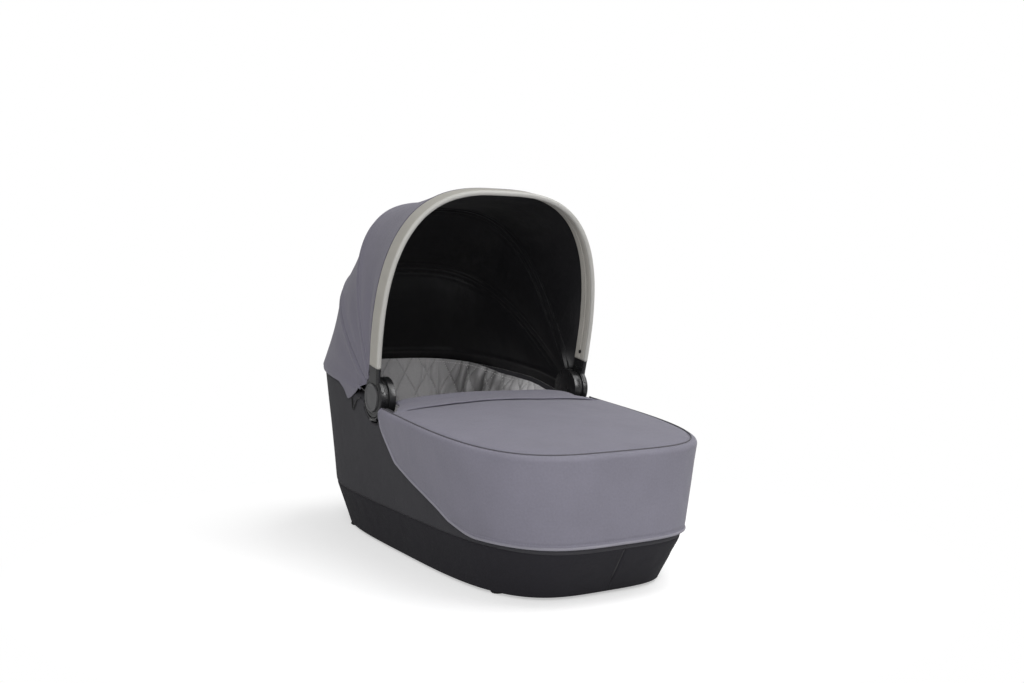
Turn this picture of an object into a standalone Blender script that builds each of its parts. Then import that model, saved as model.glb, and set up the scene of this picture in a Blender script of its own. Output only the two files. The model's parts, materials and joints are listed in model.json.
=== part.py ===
"""A pram carrycot with a folding hood, a carry handle and an apron.

+X is across the carrycot, along the hub axis, -Y is the foot end, +Y is the head end and +Z is up.
Everything is in metres. The tub is drawn around its own centre, and the last step moves the whole
carrycot so that the middle of its footprint is the origin and its feet stand on Z = 0.
"""

import bisect
import collections
import math

import bmesh
import bpy
from mathutils import Vector

# The tub: outlines at the floor, at the crease of the side wall and at the rim
BASE_HALF_WIDTH = 0.160
BASE_FOOT_LENGTH = 0.350
BASE_HEAD_LENGTH = 0.362
CREASE_HALF_WIDTH = 0.172
CREASE_FOOT_LENGTH = 0.3935
CREASE_HEAD_LENGTH = 0.397
RIM_HALF_WIDTH = 0.204
RIM_FOOT_LENGTH = 0.386
RIM_HEAD_LENGTH = 0.407
LOWER_FOOT_ROUNDNESS = 3.7
BASE_HEAD_ROUNDNESS = 3.6
CREASE_HEAD_ROUNDNESS = 4.1
RIM_FOOT_ROUNDNESS = 3.9
RIM_HEAD_ROUNDNESS = 3.4
TAPER_SHARE = -0.045
BASE_HEIGHT = 0.005
CREASE_HEIGHT = 0.076
RIM_HEIGHT = 0.250
RIM_SLOPE_SHARE = 0.0966
RIM_HEAD_RISE = 0.015
RIM_RISE_LENGTH = 0.16
CLEARANCE = 0.0004
CUT_OVERRUN = 0.02

# The hub on each side, from the outside in: button, handle disc, bow plates and fixed housing
HUB_Y = 0.020
HUB_HEIGHT = 0.263
HUB_SINK = 0.002
HUB_FACE = RIM_HALF_WIDTH - HUB_SINK
DISC_RADIUS = 0.033
DISC_THICKNESS = 0.010
PLATE_RADIUS = 0.030
PLATE_THICKNESS = 0.0025
HOUSING_THICKNESS = 0.0115
BOSS_RADIUS = 0.016
PIVOT_CLEARANCE = 0.0003
LAYER_GAP = 0.0005
RECESS_RADIUS = 0.0237
RECESS_DEPTH = 0.006
WASHER_RADIUS = 0.0205
WASHER_BORE_RADIUS = 0.0068
WASHER_THICKNESS = 0.0010
BUTTON_CLEARANCE = 0.0005
BUTTON_THICKNESS = 0.0047
BUTTON_PROUD = 0.0030
BUTTON_DISH = 0.0012
STEM_RADIUS = 0.0030
STEM_LENGTH = 0.0145
SPRING_RADIUS = 0.0052
SPRING_WIRE = 0.0008
SPRING_TURNS = 4
BORE_RADIUS = 0.0068
BORE_FLOOR = 0.006
CRADLE_INNER_RADIUS = 0.0343
CRADLE_OUTER_RADIUS = 0.0368
CRADLE_ANGLE = math.radians(70)
SEAT_LENGTH = 0.026
SEAT_DEPTH = 0.0014
EAR_START = 0.028
EAR_END = 0.056
EAR_WALL = 0.0014
NOTCH_RADIUS = 0.0390
NOTCH_DROP = 0.004

# The rim frame, the wall stays and the floor
TUBE_RADIUS = 0.0055
TUBE_INSET = 0.0107
TUBE_DROP = 0.0103
TUBE_SEAT = 0.014
STAY_RADIUS = 0.003
STAY_GAP = 0.0012
STAY_SPREAD = math.radians(56)
STAY_FOOT_RISE = 0.0035
STAY_TOP_DROP = 0.045
TRAY_GAP = 0.0004
TRAY_WALL = 0.0025
TRAY_FLOOR = 0.0030
TRAY_LIP_DROP = 0.0015
TRAY_FLANGE = 0.007
RIB_HEIGHT = 0.008
RIB_THICKNESS = 0.003
RIB_SPACING = 0.085
RIB_LENGTH = 0.230
RIB_COUNT = 7
VENT_LENGTH = 0.060
VENT_WIDTH = 0.006
VENT_SPACING = 0.018
VENT_COUNT = 4
VENT_PLACE_SHARE = 1.5
VENT_PLACE = RIB_SPACING * VENT_PLACE_SHARE
BOARD_THICKNESS = 0.0035
BOARD_INSET = 0.0085
FOOT_RADIUS = 0.011
FOOT_INSET = 0.030
FOOT_PLACE_X = BASE_HALF_WIDTH - FOOT_INSET
FOOT_PLACE_Y = 0.262
FOOT_BEVEL = 0.0015
MATTRESS_THICKNESS = 0.032
MATTRESS_CROWN = 0.007
MATTRESS_GAP = 0.0015
MATTRESS_EDGE = 0.034

# The cover, the liner and the apron
COVER_THICKNESS = 0.0016
BAND_THICKNESS = 0.0012
FOLD_HALF = 0.0105
FOLD_DEPTH = 0.0095
FOLD_LEG = 0.0230
LINER_THICKNESS = 0.0045
LINER_INSET = 0.0220
LINER_TOP_DROP = 0.0030
LINER_BOTTOM_RISE = 0.030
LINER_FOLD = 0.0022
LINER_FOLD_COUNT = 18
APRON_THICKNESS = 0.0018
APRON_OUT = 0.0034
APRON_EDGE_OUT = 0.0004
APRON_CROWN = 0.0100
APRON_TOP_RISE = 0.0012
APRON_TOP_THICKNESS = 0.0012
APRON_FRONT_Y = -0.040
APRON_EDGE_Y = 0.002
APRON_EDGE_INSET = 0.038
APRON_EDGE_HALF = RIM_HALF_WIDTH - APRON_EDGE_INSET
APRON_NOTCH_OUT = 0.0012
HEM_TIP_Y = 0.012
HEM_TIP_HEIGHT = 0.2200
HEM_LOW_Y = -0.262
HEM_LOW_HEIGHT = 0.0860
HEM_EASE = 0.006
HEM_PLACE_SHARES = (0.0, 0.06, 0.21, 0.31, 0.43, 0.58, 0.78, 1.0)
HEM_RISE_SHARES = (0.0, 0.02, 0.11, 0.22, 0.32, 0.43, 0.60, 1.0)
PIPING_RADIUS = 0.0022
PIPING_OUT = 0.0028
SEAM_PIPING_RADIUS = 0.0018
SEAM_PIPING_OUT = 0.0030
SEAM_PIPING_DROP = 0.0012
FLAP_LENGTH = 0.068
FLAP_THICKNESS = 0.0024
FLAP_LIFT = 0.0016
FLAP_INSET = 0.002
FLAP_FLARE = 0.022
FLAP_HALF = APRON_EDGE_HALF - FLAP_INSET

# The handle and the two hood bows; an angle leans back towards the head when it is positive
HANDLE_HALF_WIDTH = HUB_FACE
HANDLE_REACH = 0.3437
HANDLE_LEAN = math.radians(-11.9)
HANDLE_ROUNDNESS = 2.88
HANDLE_FLARE_SHARE = 0.101
WRAP_WIDTH = 0.034
WRAP_THICKNESS = 0.0082
WRAP_SKIN = 0.0018
WRAP_START = 0.052
CORE_WIDTH = 0.026
CORE_THICKNESS = 0.0030
CORE_GAP = 0.0010
BOW_ROUNDNESS = 2.98
BOW_FLARE_SHARE = 0.05
BOW_WIDTH = 0.010
BOW_THICKNESS = 0.0019
BOW_START = 0.022
MID_REACH = 0.3600
MID_LEAN = math.radians(24.9)
REAR_REACH = 0.3557
REAR_LEAN = math.radians(51.5)
SCREW_RADIUS = 0.0032
SCREW_HEAD = 0.0014
SCREW_REACH = 0.066

# The hood cloth and its lining
HOOD_THICKNESS = 0.0014
HOOD_START = 0.046
HOOD_HALF_WIDTH = HUB_FACE
HOOD_OUT = 0.0042
HOOD_SAG = 0.003
SEAM_GAP = 0.0008
HOOD_HEM_OUT = 0.0032
HOOD_HEM_RISE = 0.006
HOOD_HEM_DEPTH = 0.024
HOOD_HEM_PLACE_SHARES = (0.16, 0.19, 0.26, 0.31, 0.345, 0.41, 0.83)
HOOD_HEM_DROP_SHARES = (-0.6, -0.18, 0.57, 1.0, 0.45, 0.06, 0.08)
LINING_THICKNESS = 0.0010
LINING_START = 0.055
LINING_IN = 0.0020
LINING_REST_INSET = 0.0180
LOOP_RADIUS = 0.0011
LOOP_TOP_Y = 0.102
LOOP_END_Y = 0.074
LOOP_DROP = 0.034

# The tray stands clear of the band, which is thicker across its slant than through its cloth
BAND_RISE = CREASE_HEIGHT - BASE_HEIGHT
BAND_RUN = max(
    abs(CREASE_HALF_WIDTH - BASE_HALF_WIDTH),
    abs(CREASE_FOOT_LENGTH - BASE_FOOT_LENGTH),
    abs(CREASE_HEAD_LENGTH - BASE_HEAD_LENGTH),
)
TRAY_INSET = TRAY_GAP + BAND_THICKNESS * math.hypot(BAND_RUN, BAND_RISE) / BAND_RISE

# How finely round shapes are drawn
TUB_STEPS = 48
APRON_STEPS = 38
ARCH_STEPS = 22
ROUND_STEPS = 24
SMALL_ROUND_STEPS = 16

Outline = collections.namedtuple(
    "Outline", "half_width foot_length head_length foot_roundness head_roundness"
)
Arch = collections.namedtuple("Arch", "half_width reach roundness flare_share flare_power lean")

BASE = Outline(
    BASE_HALF_WIDTH, BASE_FOOT_LENGTH, BASE_HEAD_LENGTH, LOWER_FOOT_ROUNDNESS, BASE_HEAD_ROUNDNESS
)
CREASE = Outline(
    CREASE_HALF_WIDTH, CREASE_FOOT_LENGTH, CREASE_HEAD_LENGTH, LOWER_FOOT_ROUNDNESS, CREASE_HEAD_ROUNDNESS
)
RIM = Outline(
    RIM_HALF_WIDTH, RIM_FOOT_LENGTH, RIM_HEAD_LENGTH, RIM_FOOT_ROUNDNESS, RIM_HEAD_ROUNDNESS
)
HANDLE = Arch(HANDLE_HALF_WIDTH, HANDLE_REACH, HANDLE_ROUNDNESS, HANDLE_FLARE_SHARE, 1, HANDLE_LEAN)
DISC_BACK = HUB_FACE - DISC_THICKNESS
MID_PLATE_FACE = DISC_BACK - LAYER_GAP
REAR_PLATE_FACE = MID_PLATE_FACE - PLATE_THICKNESS - LAYER_GAP
HOUSING_FACE = REAR_PLATE_FACE - PLATE_THICKNESS - LAYER_GAP
HOUSING_BACK = HOUSING_FACE - HOUSING_THICKNESS
BOSS_FACE = HUB_FACE - RECESS_DEPTH
BOW_SINK = (PLATE_THICKNESS - BOW_THICKNESS) / 2
MID_BOW = Arch(MID_PLATE_FACE - BOW_SINK, MID_REACH, BOW_ROUNDNESS, BOW_FLARE_SHARE, 2, MID_LEAN)
REAR_BOW = Arch(REAR_PLATE_FACE - BOW_SINK, REAR_REACH, BOW_ROUNDNESS, BOW_FLARE_SHARE, 2, REAR_LEAN)
HUB = Vector((0.0, HUB_Y, HUB_HEIGHT))


# Scene and material helpers
def clear_scene():
    for obj in list(bpy.data.objects):
        bpy.data.objects.remove(obj)


def material(name, colour, roughness, metallic=0.0):
    made = bpy.data.materials.new(name)
    made.use_nodes = True
    shader = made.node_tree.nodes["Principled BSDF"]
    shader.inputs["Base Color"].default_value = (*colour, 1.0)
    shader.inputs["Roughness"].default_value = roughness
    shader.inputs["Metallic"].default_value = metallic
    return made


def place(name, data, look, carrier):
    """Names an object and hangs it on its carrier; its points stay where the tub's frame has them."""
    obj = bpy.data.objects.new(name, data)
    obj.parent = carrier
    obj.location = -carrier.location
    data.materials.append(look)
    bpy.context.scene.collection.objects.link(obj)
    return obj


def pivot(name, location, root):
    """An empty on a joint's axis, which carries what turns or slides there."""
    obj = bpy.data.objects.new(name, None)
    obj.parent = root
    obj.location = location
    bpy.context.scene.collection.objects.link(obj)
    return obj


def add_mesh(name, bm, look, carrier, closed=True):
    """Turns a bmesh into a named object; a closed one gets its faces turned outward."""
    if closed:
        bmesh.ops.recalc_face_normals(bm, faces=bm.faces)
    mesh = bpy.data.meshes.new(name)
    bm.to_mesh(mesh)
    bm.free()
    mesh.shade_smooth()
    mesh.set_sharp_from_angle(angle=math.radians(35))
    return place(name, mesh, look, carrier)


def boolean(obj, other, operation):
    """Cuts or joins another object, which is then only a hidden helper."""
    other.hide_render = True
    other.display_type = "WIRE"
    step = obj.modifiers.new(operation.lower() + "_" + other.name, "BOOLEAN")
    step.operation = operation
    step.object = other


# Shape helpers
def signed_power(value, exponent):
    return math.copysign(abs(value) ** exponent, value)


def mix(low, high, share):
    return low + (high - low) * share


def smooth(value):
    held = min(max(value, 0.0), 1.0)
    return held * held * (3.0 - 2.0 * held)


def along(places, levels, value):
    """The level at a value, read from straight runs between the given places."""
    if value <= places[0]:
        return levels[0]
    if value >= places[-1]:
        return levels[-1]
    after = bisect.bisect_right(places, value)
    share = (value - places[after - 1]) / (places[after] - places[after - 1])
    return mix(levels[after - 1], levels[after], share)


def grid_faces(bm, rows, closed):
    """Faces between rows of points; closed joins the last point of a row to its first."""
    made = [[bm.verts.new(point) for point in row] for row in rows]
    columns = len(made[0])
    for low, high in zip(made, made[1:]):
        for here in range(columns if closed else columns - 1):
            after = (here + 1) % columns
            bm.faces.new((low[here], low[after], high[after], high[here]))
    return made


def turn_outward(bm, centre):
    """Turns an open sheet so that its front looks away from the centre."""
    bmesh.ops.recalc_face_normals(bm, faces=bm.faces)
    total = sum(face.normal.dot(face.calc_center_median() - centre) * face.calc_area() for face in bm.faces)
    if total < 0:
        bmesh.ops.reverse_faces(bm, faces=bm.faces)


def sheet(name, rows, closed, thickness, look, carrier, centre):
    """A cloth sheet through rows of points, thickened inwards, towards the centre."""
    bm = bmesh.new()
    grid_faces(bm, rows, closed)
    turn_outward(bm, centre)
    obj = add_mesh(name, bm, look, carrier, closed=False)
    step = obj.modifiers.new("thickness", "SOLIDIFY")
    step.thickness = thickness
    step.offset = -1.0
    step.use_even_offset = True
    return obj


def loft(name, rings, look, carrier):
    """A closed solid through rings of points, with its two ends filled."""
    bm = bmesh.new()
    made = grid_faces(bm, rings, closed=True)
    bm.faces.new(made[0])
    bm.faces.new(made[-1])
    return add_mesh(name, bm, look, carrier)


def extrude_outline(name, outline, low, high, look, carrier):
    """A flat outline of (y, z) points drawn out along X from low to high."""
    rings = [[Vector((x, y, z)) for y, z in outline] for x in (low, high)]
    return loft(name, rings, look, carrier)


def box(name, low, high, look, carrier):
    corners = ((low[1], low[2]), (high[1], low[2]), (high[1], high[2]), (low[1], high[2]))
    return extrude_outline(name, corners, low[0], high[0], look, carrier)


def lathe(name, profile, steps, look, carrier):
    """A solid turned about the hub axis from a closed profile of (x, radius) points."""
    bm = bmesh.new()
    rows = []
    for step in range(steps):
        turn = 2 * math.pi * step / steps
        rows.append(
            [Vector((x, HUB_Y + r * math.cos(turn), HUB_HEIGHT + r * math.sin(turn))) for x, r in profile]
        )
    rows.append(rows[0])
    grid_faces(bm, rows, closed=True)
    bmesh.ops.remove_doubles(bm, verts=bm.verts, dist=CLEARANCE / 100)
    return add_mesh(name, bm, look, carrier)


def tube(name, points, radius, look, carrier, sides=2):
    """A round bar or cord along points, with filled ends."""
    curve = bpy.data.curves.new(name, "CURVE")
    curve.dimensions = "3D"
    curve.bevel_depth = radius
    curve.bevel_resolution = sides
    curve.use_fill_caps = True
    spline = curve.splines.new("POLY")
    spline.points.add(len(points) - 1)
    for target, point in zip(spline.points, points):
        target.co = (*point, 1.0)
    return place(name, curve, look, carrier)


# The tub's surfaces
def outline_xy(outline, angle, inset=0.0):
    """A point of an outline; angle 0 is +X, and a quarter turn is the middle of the head end."""
    head = math.sin(angle) >= 0
    roundness = outline.head_roundness if head else outline.foot_roundness
    length = outline.head_length if head else outline.foot_length
    y = (length - inset) * signed_power(math.sin(angle), 2 / roundness)
    taper = 1 + TAPER_SHARE * y / RIM_HEAD_LENGTH
    x = (outline.half_width - inset) * signed_power(math.cos(angle), 2 / roundness) * taper
    return x, y


def rim_height(y):
    return RIM_HEIGHT + RIM_SLOPE_SHARE * y + RIM_HEAD_RISE * smooth(y / RIM_RISE_LENGTH)


def wall_point(angle, share, inset=0.0):
    """A point of the side wall, from the crease at share 0 to the rim at share 1."""
    low_x, low_y = outline_xy(CREASE, angle, inset)
    high_x, high_y = outline_xy(RIM, angle, inset)
    top = rim_height(outline_xy(RIM, angle)[1])
    return Vector((mix(low_x, high_x, share), mix(low_y, high_y, share), mix(CREASE_HEIGHT, top, share)))


def band_point(angle, share, inset=0.0):
    """A point of the band below the crease, from the floor at share 0 to the crease at share 1."""
    low_x, low_y = outline_xy(BASE, angle, inset)
    high_x, high_y = outline_xy(CREASE, angle, inset)
    return Vector((mix(low_x, high_x, share), mix(low_y, high_y, share), mix(BASE_HEIGHT, CREASE_HEIGHT, share)))


def rim_point(angle, inset, drop):
    """A point a stated drop below the rim and a stated inset from the outside of the wall."""
    top = rim_height(outline_xy(RIM, angle)[1])
    return wall_point(angle, 1 - drop / (top - CREASE_HEIGHT), inset)


def wall_at_height(angle, height, inset):
    top = rim_height(outline_xy(RIM, angle)[1])
    return wall_point(angle, (height - CREASE_HEIGHT) / (top - CREASE_HEIGHT), inset)


def turn_angles(count):
    return [2 * math.pi * step / count for step in range(count)]


def angle_at(y, side=1):
    """The outline angle where the rim crosses a given y, on the +X side or on the -X side."""
    head = y >= 0
    length = RIM_HEAD_LENGTH if head else RIM_FOOT_LENGTH
    roundness = RIM_HEAD_ROUNDNESS if head else RIM_FOOT_ROUNDNESS
    angle = math.asin(signed_power(y / length, roundness / 2))
    return angle if side > 0 else math.pi - angle


# Arches that stand on the hub axis
def arch_point(arch, angle, side_offset=0.0):
    rise_share = abs(math.sin(angle)) ** (2 / arch.roundness)
    across = arch.half_width * signed_power(math.cos(angle), 2 / arch.roundness)
    across *= 1 + arch.flare_share * rise_share**arch.flare_power
    up = arch.reach * rise_share
    back = up * math.sin(arch.lean) + side_offset * math.cos(arch.lean)
    rise = up * math.cos(arch.lean) - side_offset * math.sin(arch.lean)
    return Vector((across, HUB_Y + back, HUB_HEIGHT + rise))


def arch_normal(arch, angle):
    """The direction that points out of the arch, in its own plane."""
    step = math.radians(0.2)
    low = arch_point(arch, max(angle - step, 0.0))
    high = arch_point(arch, min(angle + step, math.pi))
    side = Vector((0.0, math.cos(arch.lean), -math.sin(arch.lean)))
    return side.cross(high - low).normalized()


def arch_angle(arch, radius):
    """The angle at which the arch has climbed a radius away from the hub axis."""
    return math.asin((radius / arch.reach) ** (arch.roundness / 2))


def arch_angles(arch, radius, steps=ARCH_STEPS):
    start = arch_angle(arch, radius)
    return [mix(start, math.pi - start, step / steps) for step in range(steps + 1)]


def sweep_rings(arch, angles, profile):
    """Rings of a (out, side) profile carried along an arch, measured from its outer line."""
    side = Vector((0.0, math.cos(arch.lean), -math.sin(arch.lean)))
    rings = []
    for angle in angles:
        centre = arch_point(arch, angle)
        out = arch_normal(arch, angle)
        rings.append([centre + out * u + side * w for u, w in profile])
    return rings


def strip_profile(width, thickness, sink=0.0):
    half = width / 2
    return [(-sink, -half), (-sink, half), (-sink - thickness, half), (-sink - thickness, -half)]


def rounded_profile(width, thickness, sink=0.0, steps=3):
    """A flat band with half-round edges, as a closed loop."""
    radius = thickness / 2
    reach = width / 2 - radius
    loop = []
    for end in (1, -1):
        for step in range(steps + 1):
            turn = math.pi * step / steps
            loop.append((-sink - radius + end * radius * math.cos(turn), end * (reach + radius * math.sin(turn))))
    return loop


# Floor, frame and walls
def build_tray(look, carrier):
    angles = turn_angles(TUB_STEPS)
    lip_share = 1 - TRAY_LIP_DROP / (CREASE_HEIGHT - BASE_HEIGHT)
    floor_share = TRAY_FLOOR / (CREASE_HEIGHT - BASE_HEIGHT)
    levels = (
        (0.0, TRAY_INSET + TRAY_FLANGE / 2),
        (floor_share / 2, TRAY_INSET),
        (lip_share, TRAY_INSET),
        (lip_share, TRAY_INSET + TRAY_FLANGE),
        (lip_share - floor_share, TRAY_INSET + TRAY_FLANGE),
        (lip_share - floor_share * 1.5, TRAY_INSET + TRAY_WALL),
        (floor_share, TRAY_INSET + TRAY_WALL),
    )
    rings = [[band_point(a, share, inset) for a in angles] for share, inset in levels]
    tray = loft("base_tray", rings, look, carrier)
    floor_top = BASE_HEIGHT + TRAY_FLOOR
    for index in range(RIB_COUNT):
        y = (index - (RIB_COUNT - 1) / 2) * RIB_SPACING
        low = (-RIB_LENGTH / 2, y - RIB_THICKNESS / 2, floor_top - TRAY_FLOOR / 2)
        high = (RIB_LENGTH / 2, y + RIB_THICKNESS / 2, floor_top + RIB_HEIGHT)
        boolean(tray, box(f"rib_{index}", low, high, look, carrier), "UNION")
    for end in (-1, 1):
        for index in range(VENT_COUNT):
            x = (index - (VENT_COUNT - 1) / 2) * VENT_SPACING
            y = end * VENT_PLACE
            low = (x - VENT_WIDTH / 2, y - VENT_LENGTH / 2, BASE_HEIGHT - CUT_OVERRUN)
            high = (x + VENT_WIDTH / 2, y + VENT_LENGTH / 2, floor_top + RIB_HEIGHT / 2)
            boolean(tray, box(f"vent_{end}_{index}", low, high, look, carrier), "DIFFERENCE")
    return tray


def build_feet(look, carrier):
    for name, x_side, y_side in (
        ("foot_front_left", -1, -1),
        ("foot_front_right", 1, -1),
        ("foot_rear_left", -1, 1),
        ("foot_rear_right", 1, 1),
    ):
        bm = bmesh.new()
        height = BASE_HEIGHT - CLEARANCE
        bmesh.ops.create_cone(
            bm, cap_ends=True, segments=SMALL_ROUND_STEPS, radius1=FOOT_RADIUS, radius2=FOOT_RADIUS, depth=height
        )
        bottom = [edge for edge in bm.edges if all(vert.co.z < 0 for vert in edge.verts)]
        bmesh.ops.bevel(bm, geom=bottom, offset=FOOT_BEVEL, segments=1, affect="EDGES")
        shift = Vector((x_side * FOOT_PLACE_X, y_side * FOOT_PLACE_Y, height / 2))
        bmesh.ops.translate(bm, verts=bm.verts, vec=shift)
        add_mesh(name, bm, look, carrier)


def build_board(look, carrier):
    bottom = BASE_HEIGHT + TRAY_FLOOR + RIB_HEIGHT + CLEARANCE
    share = (bottom - BASE_HEIGHT) / (CREASE_HEIGHT - BASE_HEIGHT)
    flat = [band_point(a, share, TRAY_INSET + BOARD_INSET) for a in turn_angles(TUB_STEPS)]
    rings = [[Vector((p.x, p.y, z)) for p in flat] for z in (bottom, bottom + BOARD_THICKNESS)]
    return loft("base_board", rings, look, carrier)


def build_mattress(look, carrier):
    """A crowned pad whose sides pull in above and below the middle."""
    bottom = BASE_HEIGHT + TRAY_FLOOR + RIB_HEIGHT + BOARD_THICKNESS + 2 * CLEARANCE
    inset = LINER_INSET + LINER_FOLD + LINER_THICKNESS + MATTRESS_GAP
    pull = MATTRESS_THICKNESS / 5
    levels = (
        (0.0, pull, 0.0),
        (0.25, pull / 4, 0.0),
        (0.55, 0.0, 0.0),
        (0.85, pull / 3, 0.0),
        (1.0, pull * 1.4, 0.0),
        (1.0, MATTRESS_EDGE, 0.6),
        (1.0, MATTRESS_EDGE * 2.6, 1.0),
    )
    rings = []
    for height_share, draw, crown_share in levels:
        z = bottom + MATTRESS_THICKNESS * height_share + MATTRESS_CROWN * crown_share
        ring = []
        for angle in turn_angles(TUB_STEPS):
            x, y = outline_xy(BASE, angle, inset + draw)
            ring.append(Vector((x, y, z)))
        rings.append(ring)
    return loft("mattress", rings, look, carrier)


def build_cover(looks, carrier, notch):
    angles = turn_angles(TUB_STEPS)
    centre = Vector((0.0, 0.0, CREASE_HEIGHT))
    gap_share = CLEARANCE / (CREASE_HEIGHT - BASE_HEIGHT)
    band_rows = [[band_point(a, share) for a in angles] for share in (0.0, 1.0 - gap_share)]
    sheet("cover_band", band_rows, True, BAND_THICKNESS, looks["band"], carrier, centre)
    rows = [[wall_point(a, share) for a in angles] for share in (gap_share, 0.4, 0.8)]
    turns = 4
    for step in range(turns + 1):
        turn = math.pi * step / turns
        inset = FOLD_HALF * (1 - math.cos(turn))
        drop = FOLD_DEPTH * (1 - math.sin(turn))
        rows.append([rim_point(a, inset, drop) for a in angles])
    rows.append([rim_point(a, 2 * FOLD_HALF, FOLD_LEG) for a in angles])
    cover = cover_shell("cover_side", rows, looks["cover"], carrier)
    boolean(cover, notch, "DIFFERENCE")
    return cover


def cover_shell(name, rows, look, carrier):
    """The side wall is folded over the rim, so its front is the face that looks out at its foot."""
    bm = bmesh.new()
    grid_faces(bm, rows, closed=True)
    bm.faces.ensure_lookup_table()
    first = bm.faces[0]
    first.normal_update()
    if first.normal.x * first.calc_center_median().x < 0:
        bmesh.ops.reverse_faces(bm, faces=bm.faces)
    obj = add_mesh(name, bm, look, carrier, closed=False)
    step = obj.modifiers.new("thickness", "SOLIDIFY")
    step.thickness = COVER_THICKNESS
    step.offset = -1.0
    step.use_even_offset = True
    return obj


def build_liner(look, carrier, notch):
    """The quilted wall inside the tub, gathered into soft folds."""
    angles = turn_angles(TUB_STEPS + TUB_STEPS // 2)
    centre = Vector((0.0, 0.0, RIM_HEIGHT))
    bottom_share = LINER_BOTTOM_RISE / (CREASE_HEIGHT - BASE_HEIGHT)
    rows = [[band_point(a, bottom_share, LINER_INSET + LINER_FOLD) for a in angles]]
    rows.append([wall_point(a, 0.0, LINER_INSET + LINER_FOLD) for a in angles])
    for share in (0.6,):
        row = []
        for angle in angles:
            gather = LINER_FOLD * (1 + math.cos(LINER_FOLD_COUNT * angle)) / 2
            row.append(wall_point(angle, share, LINER_INSET + gather))
        rows.append(row)
    rows.append([rim_point(a, LINER_INSET, LINER_TOP_DROP) for a in angles])
    liner = sheet("liner", rows, True, LINER_THICKNESS, look, carrier, centre)
    boolean(liner, notch, "DIFFERENCE")
    return liner


def build_rim_tubes(look, carrier):
    """Two bent tubes that meet in the hub housings, one round each end."""
    gap = EAR_END - TUBE_SEAT
    for name, end in (("rim_tube_head", 1), ("rim_tube_foot", -1)):
        first = angle_at(HUB_Y + end * gap, 1)
        last = angle_at(HUB_Y + end * gap, -1)
        if end < 0:
            last -= 2 * math.pi
        steps = TUB_STEPS // 2
        points = [
            rim_point(mix(first, last, step / steps), TUBE_INSET, TUBE_DROP) for step in range(steps + 1)
        ]
        tube(name, points, TUBE_RADIUS, look, carrier)


def build_stays(look, carrier):
    """A sprung wire hoop in each end wall, which stands on the tray and holds the wall up."""
    steps = TUB_STEPS // 3
    inset = COVER_THICKNESS + STAY_GAP + STAY_RADIUS
    for name, middle in (("stay_head", math.pi / 2), ("stay_foot", -math.pi / 2)):
        points = []
        for step in range(steps + 1):
            turn = math.pi * step / steps
            angle = middle - STAY_SPREAD * math.cos(turn)
            top = rim_height(outline_xy(RIM, angle)[1]) - STAY_TOP_DROP
            height = mix(CREASE_HEIGHT + STAY_FOOT_RISE, top, abs(math.sin(turn)) ** 0.55)
            points.append(wall_at_height(angle, height, inset))
        tube(name, points, STAY_RADIUS, look, carrier, sides=1)


# Hubs
def arc_points(radius, first, last, steps):
    turns = [mix(first, last, step / steps) for step in range(steps + 1)]
    return [(HUB_Y + radius * math.cos(turn), HUB_HEIGHT + radius * math.sin(turn)) for turn in turns]


def tube_point(y, side):
    """A point of the rim tubes' centre line."""
    return rim_point(angle_at(y, side), TUBE_INSET, TUBE_DROP)


def build_housing(name, side, look, carrier):
    """The fixed moulding: drum, boss, cradle under the discs and an ear for each rim tube."""
    bore_floor = HOUSING_BACK + BORE_FLOOR
    profile = [
        (side * HOUSING_BACK, 0.0),
        (side * HOUSING_BACK, DISC_RADIUS),
        (side * HOUSING_FACE, DISC_RADIUS),
        (side * HOUSING_FACE, BOSS_RADIUS),
        (side * BOSS_FACE, BOSS_RADIUS),
        (side * BOSS_FACE, BORE_RADIUS),
        (side * bore_floor, BORE_RADIUS),
        (side * bore_floor, 0.0),
    ]
    drum = lathe(name, profile, ROUND_STEPS, look, carrier)
    low_turn = -math.pi / 2 - CRADLE_ANGLE
    high_turn = -math.pi / 2 + CRADLE_ANGLE
    steps = ROUND_STEPS // 2
    outer = arc_points(CRADLE_OUTER_RADIUS, low_turn, high_turn, steps)
    inner = arc_points(DISC_RADIUS - RECESS_DEPTH, high_turn, low_turn, steps)
    cradle_back = HOUSING_BACK + LAYER_GAP
    cradle = extrude_outline(name + "_cradle", outer + inner, side * cradle_back, side * HUB_FACE, look, carrier)
    seat_low = HUB_HEIGHT - CRADLE_OUTER_RADIUS - SEAT_DEPTH
    seat = box(
        name + "_seat",
        (side * (cradle_back + LAYER_GAP), HUB_Y - SEAT_LENGTH / 2, seat_low),
        (side * (HUB_FACE - LAYER_GAP), HUB_Y + SEAT_LENGTH / 2, HUB_HEIGHT - DISC_RADIUS),
        look,
        carrier,
    )
    boolean(drum, cradle, "UNION")
    boolean(drum, seat, "UNION")
    for end in (-1, 1):
        ear_points = [tube_point(HUB_Y + end * reach, side) for reach in (EAR_START, EAR_END)]
        ear = rod(f"{name}_ear_{end}", ear_points, TUBE_RADIUS + EAR_WALL, look, carrier)
        boolean(drum, ear, "UNION")
    well_start = HOUSING_FACE + LAYER_GAP / 5
    well_profile = [
        (side * well_start, (BOSS_RADIUS + DISC_RADIUS) / 2),
        (side * well_start, CRADLE_INNER_RADIUS),
        (side * (HUB_FACE + CUT_OVERRUN), CRADLE_INNER_RADIUS),
        (side * (HUB_FACE + CUT_OVERRUN), (BOSS_RADIUS + DISC_RADIUS) / 2),
    ]
    boolean(drum, lathe(name + "_well", well_profile, ROUND_STEPS, look, carrier), "DIFFERENCE")
    for end in (-1, 1):
        reaches = (EAR_END - TUBE_SEAT - CLEARANCE, EAR_END, EAR_END + CUT_OVERRUN)
        socket_points = [tube_point(HUB_Y + end * reach, side) for reach in reaches]
        socket = rod(f"{name}_socket_{end}", socket_points, TUBE_RADIUS + PIVOT_CLEARANCE, look, carrier)
        boolean(drum, socket, "DIFFERENCE")
    return drum


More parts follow.
